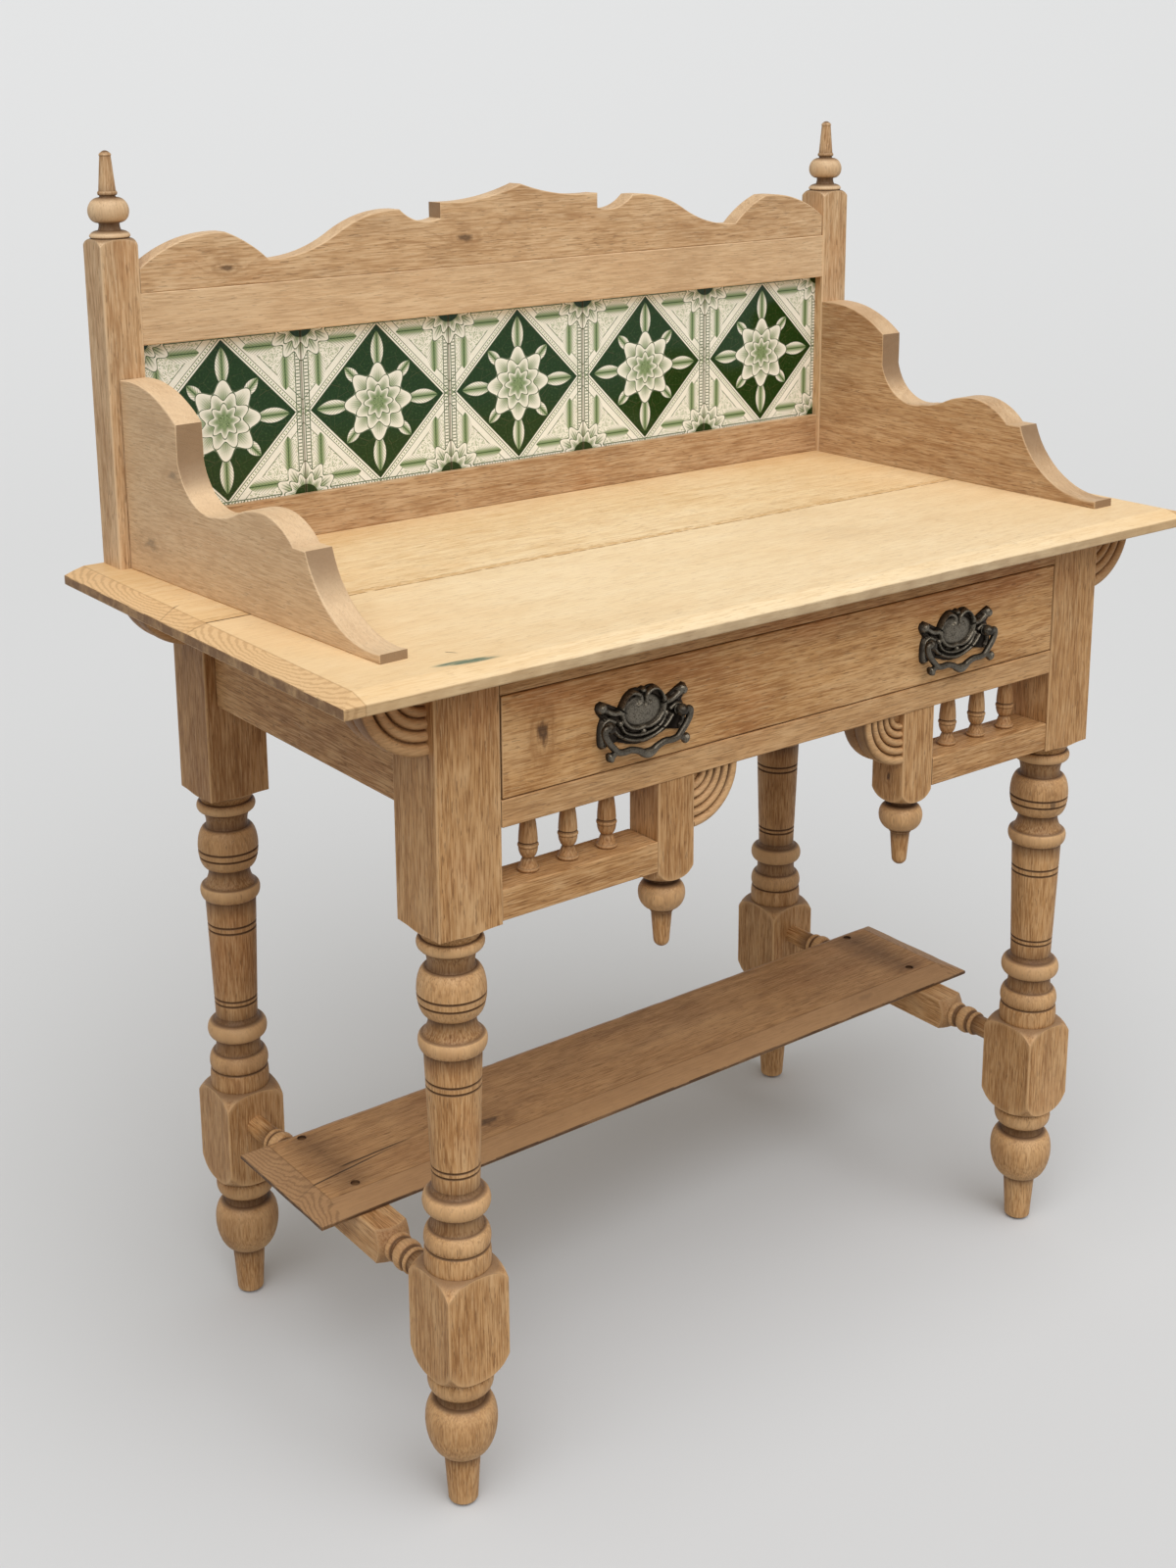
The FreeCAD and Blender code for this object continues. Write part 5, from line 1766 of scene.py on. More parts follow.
@dataclass
class Legs:
    """Four turned legs: two square blocks, a ringed column between them and a ball foot on a peg."""

    block_bottom: float = 492.0
    neck_top: float = 482.5
    neck: float = 21.7
    column_top: float = 391.0
    lower_top: float = 211.0
    lower_neck: float = 25.4
    lower_block_top: float = 186.0
    lower_block_bottom: float = 154.0
    foot_top: float = 120.0
    foot_neck: float = 22.4
    peg_tip: float = 3.5
    clearance: float = 1.06
    end_ease: float = 0.6
    line_depth: float = 1.6
    line_width: float = 2.3
    ball_lines: tuple[float, ...] = (437.5, 431.0)
    column_lines: tuple[float, ...] = (23.0, 28.5, 94.5, 99.0)
    # The rear legs are darkened as painted shade.
    rear_shade_tone: float = -0.2
    column: tuple[Turning, ...] = (
        (10.0, 25.5, 21.7, 12),
        (14.5, 18.2, 19.2, 12),
        (38.0, 26.3, 19.2, 20),
        (16.0, 18.7, 23.6, 12),
        (13.0, 26.1, 22.2, 12),
        (112.0, None, 18.5, 8),
        (5.0, 18.6, 21.2, 5),
        (16.0, 26.4, 21.4, 12),
        (14.0, 19.6, 21.6, 12),
        (16.0, 26.0, 23.2, 12),
        (1.0, None, 25.2, 1),
        (16.0, 26.1, 25.4, 8),
    )
    foot: tuple[Turning, ...] = (
        (17.0, 26.1, 21.6, 12),
        (9.0, 19.0, 19.8, 8),
        (48.0, 28.2, 14.6, 20),
        (42.5, None, 11.8, 6),
    )

    def leg(self, node: str, shift: float) -> Object:
        """One leg, from the top down.

        Args:
            node: The leg's node.
            shift: How far along the log it was taken.

        Returns:
            The leg's object.
        """
        stock = TurnedStock(node, Axis.Z, clearance=self.clearance)
        clear = stock.clear
        stock.end(stock.high[2], self.end_ease, self.end_ease)
        stock.block(stock.high[2] - self.end_ease, self.block_bottom)
        slope = np.linspace(0, 1, 16)
        stock.shoulder(
            clear + (self.neck - clear) * slope,
            self.block_bottom + (self.neck_top - self.block_bottom) * slope**5,
        )
        column = Profile(self.neck_top, self.neck).follow(self.column)
        lines = [*self.ball_lines, *(self.column_top - drop for drop in self.column_lines)]
        stock.turned(*incised(*column.rows(), lines, self.line_depth, self.line_width))
        turn = np.linspace(0, np.pi / 2, 18)
        stock.shoulder(
            self.lower_neck + (clear - self.lower_neck) * np.sin(turn),
            self.lower_top + (self.lower_block_top - self.lower_top) * (1 - np.cos(turn)),
        )
        stock.block(self.lower_block_top, self.lower_block_bottom)
        turn = np.linspace(0, np.pi / 2, 20)
        stock.shoulder(
            self.foot_neck + (clear - self.foot_neck) * np.cos(turn) ** 0.9,
            self.lower_block_bottom + (self.foot_top - self.lower_block_bottom) * np.sin(turn),
        )
        foot = Profile(self.foot_top, self.foot_neck).follow(self.foot).nose(self.peg_tip)
        stock.turned(*foot.rows())
        # Painted shade darkens the rear legs.
        tone = self.rear_shade_tone if "rear" in node else 0.0
        cut = LogCut(Axis.Z, (26.0 + shift * 0.02, 44.0 - shift * 0.03), shift, tone)
        return stock.piece(FRAME_PINE, cut)

    def build(self) -> list[Object]:
        """All four legs."""
        names = [f"leg_{end}_{side}" for end in ("front", "rear") for side in SIDES]
        return [self.leg(name, 410.0 * number) for number, name in enumerate(names)]


@dataclass
class Rails:
    """The straight rails of the underframe, with eased edges and a thin dark joint at each shoulder."""

    ease: float = 1.1
    joint: float = 0.35
    drawer_rail_tone: float = 0.2
    back: tuple[str, ...] = ("side_rail_left", "side_rail_right")
    across: tuple[str, ...] = ("back_rail", "front_top_rail", "drawer_rail")
    gallery: tuple[str, ...] = ("gallery_rail_left", "gallery_rail_right")

    def shoulders(self, node: str, axis: Axis) -> Pair:
        """Where a rail starts and stops, a joint's width clear of the pieces that it is tenoned into.

        Args:
            node: The rail's node.
            axis: The way that it runs.

        Returns:
            Both places along that way.
        """
        front_low, front_high = node_box("leg_front_right")
        leg = front_low[0]
        pendant = node_box("pendant_right")[1][0]
        start, stop = -leg, leg
        if axis is Axis.Y:
            start, stop = front_high[1], node_box("leg_rear_right")[0][1]
        elif node == self.gallery[0]:
            stop = -pendant
        elif node == self.gallery[1]:
            start = pendant
        return start + self.joint, stop - self.joint

    def build(self) -> list[Object]:
        """All the rails.

        Returns:
            Their objects.
        """
        ways = dict.fromkeys(self.back, Axis.Y) | dict.fromkeys(self.across + self.gallery, Axis.X)
        pieces = []
        for number, (node, axis) in enumerate(ways.items()):
            low, high = node_box(node)
            low[axis.value], high[axis.value] = self.shoulders(node, axis)
            tone = self.drawer_rail_tone if node == "drawer_rail" else 0.0
            cut = LogCut(axis, (22.0 + 9.0 * number, -58.0 + 13.0 * number), 530.0 * number, tone)
            pieces.append(eased_box(low, high, axis, self.ease).piece(node, "eased", FRAME_PINE, cut))
        return pieces


@dataclass
class LowerGallery:
    """Pendants, spindles and fan brackets under the drawer rail and the top.

    The lengths of a spindle's turnings and the places of its lines are shares of its height.
    """

    block_end: float = 66.0
    bullnose: float = 19.0
    end_ease: float = 0.4
    arris: float = 1.3
    drop_neck: float = 10.8
    drop_end: float = 6.4
    drop_tip: float = 6.0
    drop: tuple[Turning, ...] = (
        (1.6, 11.6, 10.2, 5),
        (2.4, 9.4, 11.0, 5),
        (23.0, 18.6, 9.0, 18),
        (3.0, 9.6, 8.4, 6),
    )
    spindle_spacing: float = 37.0
    spindle_top: float = 5.6
    spindle_tone: float = -0.12
    spindle_lines: tuple[float, ...] = (0.08, 0.515)
    spindle: tuple[Turning, ...] = (
        (0.04, None, 4.6, 1),
        (0.5, 6.6, 7.1, 12),
        (0.06, 8.0, 7.0, 8),
        (0.16, 6.9, 4.9, 8),
        (0.05, 4.7, 5.2, 4),
        (0.12, 6.2, 7.4, 8),
        (0.05, 8.4, 7.6, 8),
        (0.02, None, 7.4, 1),
    )
    bead_widths: tuple[float, ...] = (0.9, 0.95, 1.0, 1.0, 1.2)
    core: float = 0.2
    dish: float = 6.4
    bead_height: float = 3.6
    undercut: float = 0.8
    rim_start: float = 2.4
    rim_bead: float = 2.2

    def pendant(self, side: str) -> Object:
        """A square pendant with a rounded end and a turned drop.

        Args:
            side: Left or right.

        Returns:
            The pendant's object.
        """
        stock = TurnedStock(f"pendant_{side}", Axis.Z, self.arris)
        top = node_box("drawer_rail")[0][2]
        end = top - self.block_end
        stock.end(top, self.end_ease, self.end_ease)
        stock.block(top - self.end_ease, end)
        turn = np.linspace(0, np.pi / 2, 18)
        nose = self.drop_neck + (stock.clear - self.drop_neck) * np.cos(turn) ** 0.85
        stock.shoulder(nose, end - self.bullnose * np.sin(turn))
        below = end - self.bullnose - sum(length for length, *_ in self.drop)
        drop = Profile(end - self.bullnose, self.drop_neck).follow(self.drop)
        drop.taper(below - stock.low[2] - self.drop_tip, self.drop_end, 5).nose(self.drop_tip)
        stock.turned(*drop.rows())
        cut = LogCut(Axis.Z, (24.0, 30.0), 900.0 if side == "left" else 1300.0)
        return stock.piece(FRAME_PINE, cut)

    def spindles(self, side: str) -> Object:
        """Three small turned spindles in one piece of the scene.

        Args:
            side: Left or right.

        Returns:
            The spindles' object.
        """
        node = f"spindles_{side}"
        low, high = node_box(node)
        tall = high[2] - low[2]
        outline = Profile(high[2], self.spindle_top).follow(self.spindle, tall)
        lines = [high[2] - tall * share for share in self.spindle_lines]
        radii, heights = incised(*outline.rows(), lines, 0.7, 1.3)
        # Wear on the crowns, and grime with painted shade in the hollows and lines.
        wear, grime_and_shade = relief_marks(radii, heights, 4.0)
        skin = Skin()
        for step in (-1, 0, 1):
            middle = (low + high) / 2 + np.array([step * self.spindle_spacing, 0.0, 0.0])
            points = rings_about(Axis.Z, middle, radii[:, None], around(40), heights[:, None])
            skin.closed_grid(points, wear[:, None], grime_and_shade[:, None])
        cut = LogCut(Axis.Z, (31.0, 22.0), 1700.0, self.spindle_tone)
        return skin.piece(node, "turned", FRAME_PINE, cut)

    def fan(self, node: str, outward: int) -> Object:
        """A quarter roundel, its centre in the corner under a rail or the top.

        The face is turned: flat to the core, then one half ellipse to a bead, each bead a step further
        forward. The rim has two broad beads. The outline is carried through a quarter turn.

        Args:
            node: The bracket's node.
            outward: 1 where it spreads towards +X from its corner, -1 where it spreads towards -X.

        Returns:
            The bracket's object.
        """
        low, high = node_box(node)
        radius = high[2] - low[2]
        thick = high[1] - low[1]
        corner = low[0] if outward > 0 else high[0]
        core = radius * self.core
        edges = core + (radius - core) * np.cumsum([0.0, *self.bead_widths]) / sum(self.bead_widths)
        beads = len(self.bead_widths)
        share = (1 - np.cos(np.linspace(0, np.pi, 13))) / 2
        bulge = np.sqrt(np.clip(1 - (2 * share - 1) ** 2, 0, 1))
        floor = self.dish - (self.dish - self.bead_height) / beads * np.arange(1, beads + 1) + self.undercut
        reach = edges[:-1, None] + np.diff(edges)[:, None] * (share * 0.9 + 0.05)
        depth = floor[:, None] - (self.bead_height + self.undercut) * bulge
        rim = np.concatenate([share, 1.02 + share * 0.98]) * (thick - self.rim_start) / 2 + self.rim_start
        dents = np.tile((1 - bulge) * self.rim_bead, 2)
        outline_reach = np.concatenate([[0.0, core * 0.94], reach.ravel(), radius - dents, [0.0]])
        outline_depth = np.concatenate([[self.dish, self.dish], depth.ravel(), rim, [thick]])
        turn = np.linspace(0, np.pi / 2, 41)
        points = np.empty((len(turn), len(outline_reach), 3))
        points[..., 0] = corner + outward * outline_reach * np.cos(turn)[:, None]
        points[..., 1] = low[1] + outline_depth
        points[..., 2] = high[2] - outline_reach * np.sin(turn)[:, None]
        face = 2 + reach.size
        proud = np.zeros(len(outline_reach))
        proud[2:face] = np.tile(bulge, beads)
        # Grime with painted shade in the grooves between beads and round the rim.
        grime_and_shade = np.zeros_like(proud)
        grime_and_shade[2:face] = np.tile((1 - bulge) ** 2 * 0.7, beads)
        grime_and_shade[face:-1] = np.tile((1 - bulge) ** 2, 2)
        skin = Skin()
        skin.closed_grid(points, proud[None, :] * 0.6, grime_and_shade[None, :])
        return skin.piece(node, "turned", FRAME_PINE, LogCut(Axis.X, (30.0, 52.0), 2300.0 + corner))

    def build(self) -> list[Object]:
        """Both sides.

        Returns:
            Their objects.
        """
        pieces = []
        for side, sign in SIDES.items():
            pieces += [self.pendant(side), self.spindles(side)]
            for place, outward in (("front", sign), ("rear", sign), ("pendant", -sign)):
                pieces.append(self.fan(f"fan_bracket_{place}_{side}", outward))
        return pieces


@dataclass
class Top:
    """The two boards of the top, bevelled at the ends and the front."""

    bevel: float = 17.0
    drop: float = 5.0

    def build(self) -> list[Object]:
        """Both boards.

        Returns:
            Their objects.
        """
        front = Bevels(self.bevel, self.bevel, self.bevel, 0.0, self.drop)
        rear = Bevels(self.bevel, self.bevel, 0.0, 0.0, self.drop)
        pieces = []
        for name, bevels, cut in (
            ("top_board_front", front, LogCut(Axis.X, (30.0, -120.0), 0.0)),
            ("top_board_rear", rear, LogCut(Axis.X, (-64.0, -95.0), 1400.0)),
        ):
            skin = bevelled_slab(*node_box(name), bevels)
            pieces.append(skin.piece(name, "planed", TOP_PINE, cut, crease=PLANED_CREASE))
        return pieces


@dataclass
class Shelf:
    """The undershelf and the turned stretchers that carry it."""

    bevel: float = 21.0
    rear_bevel: float = 13.0
    drop: float = 7.0
    screw_radius: float = 3.0
    block: float = 152.0
    ringed: float = 39.0
    arris: float = 1.2
    end_neck: float = 9.2
    taper_end: float = 9.6
    last_ring: float = 10.8
    rings: tuple[Turning, ...] = (
        (5.0, 11.6, 9.8, 8),
        (3.0, 9.2, 10.6, 5),
        (11.0, 13.0, 10.0, 12),
        (4.0, 9.2, 10.4, 6),
        (6.0, 12.6, 10.8, 8),
    )

    def shelf(self) -> Object:
        """The board, with the sunk holes of its screws.

        Returns:
            Its object.
        """
        first, last = node_box("shelf_screws")
        first += self.screw_radius
        last -= self.screw_radius
        holes = [(x, y) for x in (first[0], last[0]) for y in (first[1], last[1])]
        bevels = Bevels(self.bevel, self.bevel, self.bevel, self.rear_bevel, self.drop)
        skin = bevelled_slab(*node_box("shelf"), bevels, holes)
        cut = LogCut(Axis.X, (22.0, -88.0), 3100.0)
        return skin.piece("shelf", "planed", SHELF_PINE, cut, crease=PLANED_CREASE)

    def stretcher(self, side: str, shift: float) -> Object:
        """Square under the shelf, turned to rings and a taper at each end.

        Args:
            side: Left or right.
            shift: How far along the log it was taken.

        Returns:
            The stretcher's object.
        """
        stock = TurnedStock(f"stretcher_{side}", Axis.Y, self.arris)
        rear = stock.high[1]
        middle = (stock.low[1] + rear) / 2
        square_end = middle + self.block / 2
        end = Profile(rear, self.end_neck).taper(rear - square_end - self.ringed, self.taper_end, 3)
        radii, heights = end.follow(self.rings).rows()
        slope = np.linspace(0, 1, 10)
        rise = self.last_ring + (stock.clear - self.last_ring) * slope
        out = heights[-1] - (heights[-1] - square_end) * slope
        stock.turned(radii, heights)
        stock.shoulder(rise, out)
        stock.block(square_end, square_end - self.block)
        stock.shoulder(rise[::-1], (2 * middle - out)[::-1])
        stock.turned(radii[::-1], (2 * middle - heights)[::-1])
        cut = LogCut(Axis.Y, (18.0, 26.0), shift)
        return stock.piece(FRAME_PINE, cut)

    def build(self) -> list[Object]:
        """The shelf and both stretchers."""
        return [self.shelf(), self.stretcher("left", 3600.0), self.stretcher("right", 3900.0)]


@dataclass
class Upstand:
    """Posts, rails, tiles, cresting and the shaped side galleries."""

    post_square_top: float = 956.0
    arris: float = 1.3
    rail_ease: float = 1.0
    tile_ease: float = 1.1
    board_ease: float = 1.3
    edge_wear: float = 0.7
    left_swing: float = 3.0
    gallery_inset: float = 12.0
    gallery_thick: float = 24.0
    finial_tip: float = 0.6
    finial: tuple[Turning, ...] = (
        (4.0, 4.1, 4.5, 8),
        (27.5, None, 6.9, 5),
        (3.4, 7.9, 6.9, 8),
        (1.6, 6.4, 7.4, 4),
        (20.0, 16.4, 8.8, 18),
        (6.0, 8.4, 9.8, 8),
        (6.0, 15.9, 13.6, 10),
    )
    crest_peak: Point = (0.0, 69.5, 0.1)
    crest: tuple[Station, ...] = (
        (88.0, 57.0),
        (88.0, 43.5, 0.28),
        (130.0, 53.5, -0.16),
        (195.0, 36.25, 0.14),
        (260.0, 19.0, -0.1),
        (300.0, 44.5, -0.18),
    )
    crest_end: float = 20.0
    gallery_stations: tuple[Station, ...] = (
        (0.0, 0.0),
        (0.0, 156.0, 0.2),
        (-87.0, 131.0),
        (-87.0, 101.0, -0.42),
        (-141.0, 67.5, -0.1),
        (-171.0, 74.75, 0.1),
        (-201.0, 82.0, 0.22),
        (-249.0, 63.5),
        (-265.0, 63.5, -0.36),
        (-355.0, 7.0),
        (-355.0, 0.0),
    )

    def post(self, side: str, shift: float) -> Object:
        """A square post with a turned finial.

        Args:
            side: Left or right.
            shift: How far along the log it was taken.

        Returns:
            The post's object.
        """
        stock = TurnedStock(f"post_{side}", Axis.Z, self.arris)
        radii, heights = Profile(stock.high[2], self.finial_tip).follow(self.finial).rows()
        turn = np.linspace(0, np.pi / 2, 16)
        stock.turned(radii, heights)
        stock.shoulder(
            radii[-1] + (stock.clear - radii[-1]) * np.sin(turn) ** 0.9,
            heights[-1] - (heights[-1] - self.post_square_top) * (1 - np.cos(turn)),
        )
        stock.block(self.post_square_top, node_box("upstand_bottom_rail")[0][2])
        cut = LogCut(Axis.Z, (20.0, 34.0), shift)
        return stock.piece(UPSTAND_PINE, cut)

    def rails(self) -> list[Object]:
        """The rails above and below the tiles.

        Returns:
            Their objects.
        """
        cuts = {
            "upstand_bottom_rail": LogCut(Axis.X, (34.0, -66.0), 5200.0, -0.18),
            "upstand_top_rail": LogCut(Axis.X, (54.0, -66.0), 5900.0, 0.36),
        }
        skins = {node: eased_box(*node_box(node), Axis.X, self.rail_ease) for node in cuts}
        return [skins[node].piece(node, "eased", UPSTAND_PINE, cut) for node, cut in cuts.items()]

    def tile(self, number: int) -> Object:
        """One tile with a rounded rim and its place on the print marked.

        Args:
            number: Its number, from the left.

        Returns:
            The tile's object.
        """
        node = f"tile_{number}"
        low, high = node_box(node)
        skin = eased_box(low, high, Axis.Y, self.tile_ease)
        print_place = (np.concatenate(skin.points) - (low + high) / 2)[:, [0, 2, 1]]
        print_place[:, 2] = 0.0
        return skin.piece(node, "glazed", GLAZE, marks={"tile": print_place})

    def cresting(self) -> Object:
        """The scrolled board on the top rail.

        Returns:
            Its object.
        """
        low, high = node_box("cresting")
        right = [*self.crest, (high[0], self.crest_end), (high[0], 0.0)]
        outline = mirrored(self.crest_peak, right) + np.array([0.0, low[2]])
        skin = board(outline, low[1], high[1], lay_front, self.board_ease, self.edge_wear)
        cut = LogCut(Axis.X, (50.0, -110.0), 6600.0, 0.08)
        return skin.piece("cresting", "sawn", UPSTAND_PINE, cut)

    def gallery(self, side: str, tone: float, swing: float = 0.0) -> Object:
        """A shaped side gallery.

        Args:
            side: Left or right.
            tone: How much paler its board is than others; on the left gallery this paleness is painted light
                on its outer face, which faces the light.
            swing: How far it is swung in about its rear corner, in degrees.

        Returns:
            The gallery's object.
        """
        sign = SIDES[side]
        rail_low, rail_high = node_box("upstand_bottom_rail")
        corner_x = sign * rail_high[0] - sign * self.gallery_inset
        corner = np.array([corner_x, node_box("post_left")[0][1], rail_low[2]])
        turn = np.array(Matrix.Rotation(math.radians(swing), 3, "Z"))

        def lay(points: Array) -> Array:
            """Along, up and across become Y, Z and X, turned about the corner."""
            return points[:, [2, 0, 1]] @ turn.T + corner

        outline = arc_outline(self.gallery_stations)
        near, far = sorted((0.0, self.gallery_thick * sign))
        skin = board(outline, near, far, lay, self.board_ease, self.edge_wear)
        cut = LogCut(Axis.Y, (-70.0, 26.0 * sign), 7400.0 + 300.0 * sign, tone)
        return skin.piece(f"side_gallery_{side}", "sawn", UPSTAND_PINE, cut)

    def build(self) -> list[Object]:
        """The whole upstand."""
        pieces = [self.post("left", 4300.0), self.post("right", 4700.0), *self.rails(), self.cresting()]
        pieces += [self.tile(number) for number in range(1, 6)]
        # The left gallery's paleness is painted light on its outer face.
        return [*pieces, self.gallery("left", 0.4, self.left_swing), self.gallery("right", -0.16)]


def lay_front(points: Array) -> Array:
    """Along, up and across become X, Z and Y."""
    return points[:, [0, 2, 1]]


def mirrored(peak: Point, right: Sequence[Station]) -> Array:
    """A symmetrical outline from its peak and its right half.

    Args:
        peak: The station on the middle line.
        right: The stations down the right, in order.

    Returns:
        The outline's points.
    """
    bulges = [(*station, 0.0)[2] for station in (peak, *right)]
    left = [(-station[0], station[1], bulge) for station, bulge in zip(right, bulges)]
    return arc_outline([peak, *right, *left[::-1]])


@dataclass
class Drawer:
    """The drawer's front, its ends just inside the tails of the sides; its box keeps its nodes."""

    ease: float = 1.2
    tail_rise: float = 0.3

    def build(self) -> list[Object]:
        """The front board.

        Returns:
            Its object, in a list.
        """
        low, high = node_box("drawer_front")
        low[0] += self.tail_rise
        high[0] -= self.tail_rise
        skin = eased_box(low, high, Axis.X, self.ease)
        cut = LogCut(Axis.X, (96.0, -24.0), 8200.0)
        return [skin.piece("drawer_front", "planed", DRAWER_PINE, cut, "drawer")]


@dataclass
class Handles:
    """Two cast drop handles: a relief plate, two posts and a bail each.

    Listed points give the right half of the plate's rim, of its relief and of the bail. A cord of
    the relief has points, half a width and a height, and a ball has a middle, a radius and a height.
    """

    centre_x: float = 171.0
    centre_z: float = 620.0
    hinge_y: float = -198.0
    hinge_rise: float = 4.0
    post_x: float = 35.0
    post_radius: float = 2.4
    post_head: tuple[Turning, ...] = ((2.2, 4.6, 3.0, 6), (8.2, 4.6, 0.4, 14))
    head_length: float = 10.6
    rod: float = 2.7
    rim: tuple[Pair, ...] = (
        ((0.0, 28.6), (3.2, 27.4), (6.0, 28.2), (11.5, 27.8), (17.0, 24.2), (21.0, 18.6), (22.6, 15.6))
        + ((35.2, 22.3), (39.0, 24.0), (42.9, 22.3), (44.2, 18.8), (42.6, 15.0), (39.0, 10.5), (41.5, 5.0))
        + ((42.3, -4.0), (41.5, -11.0), (38.5, -13.6), (33.0, -12.2), (29.5, -11.2), (24.0, -10.5))
        + ((17.0, -13.0), (9.0, -15.4), (0.0, -16.2))
    )
    scroll: tuple[Pair, ...] = (
        ((5.6, 15.0), (2.6, 17.6), (3.8, 22.6), (10.8, 25.4), (17.4, 22.0), (20.4, 14.5), (19.0, 6.0))
        + ((13.5, -0.4), (6.0, -3.0), (0.0, -2.4))
    )
    cords: tuple[tuple[tuple[Pair, ...], float, float], ...] = (
        (scroll, 2.0, 4.4),
        (((22.0, 3.7), (18.0, -3.4), (11.0, -7.2), (4.0, -8.6), (0.0, -8.8)), 1.5, 3.2),
        (((28.5, 0.5), (23.5, -5.0), (17.1, -9.0), (9.0, -12.0), (0.0, -13.4)), 1.6, 3.4),
        (((21.0, 12.0), (28.0, 12.6), (34.0, 15.6), (38.0, 18.4)), 2.5, 3.4),
        (((27.0, 6.0), (33.0, 8.6), (39.2, 4.0), (40.0, -4.0), (38.4, -10.8)), 1.9, 3.0),
    )
    balls: tuple[tuple[Pair, float, float], ...] = (
        ((39.0, 18.8), 4.9, 4.9),
        ((0.0, 26.0), 2.6, 4.0),
        ((0.0, -6.0), 2.5, 4.4),
        ((22.0, 3.7), 2.8, 4.2),
        ((38.4, -10.6), 2.7, 3.6),
        ((5.8, 15.2), 2.2, 4.8),
    )
    bail_line: tuple[Pair, ...] = (
        ((0.0, -26.2), (4.5, -25.2), (9.0, -22.6), (16.0, -20.4), (23.0, -20.6), (28.5, -19.6))
        + ((32.0, -16.5), (36.5, -11.5), (40.2, -6.0), (41.2, -1.5), (40.2, 0.6), (37.0, 0.8))
    )

    def outline(self, angle: Array) -> Array:
        """The plate's rim: a closed line through its points, as distance by angle.

        Args:
            angle: The angles asked for.

        Returns:
            The distance from the plate's middle at each.
        """
        right = np.array(self.rim)
        points = np.concatenate([right, right[-2:0:-1] * MIRROR])
        turn = np.arctan2(points[:, 1], points[:, 0]) % (2 * np.pi)
        order = np.argsort(turn)
        distance = np.hypot(*points.T)
        return np.interp(angle, turn[order], distance[order], period=2 * np.pi)

    def ridges(self, x: Array, z: Array) -> Array:
        """The relief: a round shell, cords of metal along scrolls, and balls.

        Each raises the plate by its height times the root of 1 less the square of the distance from its
        middle over its half width.

        Args:
            x: How far from the plate's middle, to the right.
            z: How far above its middle.

        Returns:
            The height at each point.
        """
        side = np.abs(x)
        shell = np.hypot(side / 18.4, (z - 9.8) / 13.2)
        height = 3.7 * np.sqrt(np.clip(1 - shell**2, 0, 1))
        height *= np.clip(np.hypot(side / 5.0, (z - 20.5) / 8.0), 0, 1)
        for points, half, lift in self.cords:
            line = smooth_line(np.array(points))
            height = np.maximum(height, cord_height(side, z, line, half, lift))
        for place, radius, lift in self.balls:
            distance = np.hypot(side - place[0], z - place[1])
            height = np.maximum(height, lift * np.sqrt(np.clip(1 - (distance / radius) ** 2, 0, 1)))
        return height

    def plate(self, side: str) -> Object:
        """The cast plate: rings of its rim drawn in towards the middle, raised by the relief.

        Args:
            side: Left or right.

        Returns:
            The plate's object.
        """
        node = f"handle_plate_{side}"
        back = node_box(node)[1][1]
        angle = around(320)
        share = np.concatenate([[1.0, 1.0, 0.992, 0.975], np.linspace(0.955, 0.02, 60)])[:, None]
        reach = share * self.outline(angle)
        x = reach * np.cos(angle)
        z = reach * np.sin(angle)
        base = np.interp(share, [0.0, 0.955, 0.975, 0.992, 1.0], [1.5, 1.5, 1.4, 1.0, 0.6])
        relief = self.ridges(x, z) * np.clip((1 - share) / 0.06, 0, 1)
        depth = base + relief
        depth[0] = 0.0
        points = np.stack([SIDES[side] * self.centre_x + x, back - depth, self.centre_z + z], axis=-1)
        skin = Skin()
        skin.closed_grid(points, np.clip((relief - 1.2) / 1.4, 0, 1), np.clip(1 - relief / 0.8, 0, 1))
        return skin.piece(node, "cast", DARK_CAST, body="drawer", crease=CAST_CREASE)

    def posts(self, side: str) -> Object:
        """The two posts that carry the bail: a turned neck and a ball, on the line of the stud.

        Args:
            side: Left or right.

        Returns:
            The posts' object.
        """
        node = f"handle_studs_{side}"
        low, high = node_box(node)
        outline = Profile(high[1], self.post_radius)
        outline.taper(high[1] - low[1] - self.head_length, self.post_radius, 3)
        radii, depths = outline.follow(self.post_head).rows()
        worn = np.clip((radii - 3.0) / 1.6, 0, 1)[:, None] * 0.8
        skin = Skin()
        for hand in SIDES.values():
            x = SIDES[side] * self.centre_x + hand * self.post_x
            middle = np.array([x, 0.0, self.centre_z + self.hinge_rise])
            skin.closed_grid(rings_about(Axis.Y, middle, radii[:, None], around(28), depths[:, None]), worn)
        return skin.piece(node, "cast", DARK_CAST, body="drawer", crease=CAST_CREASE)

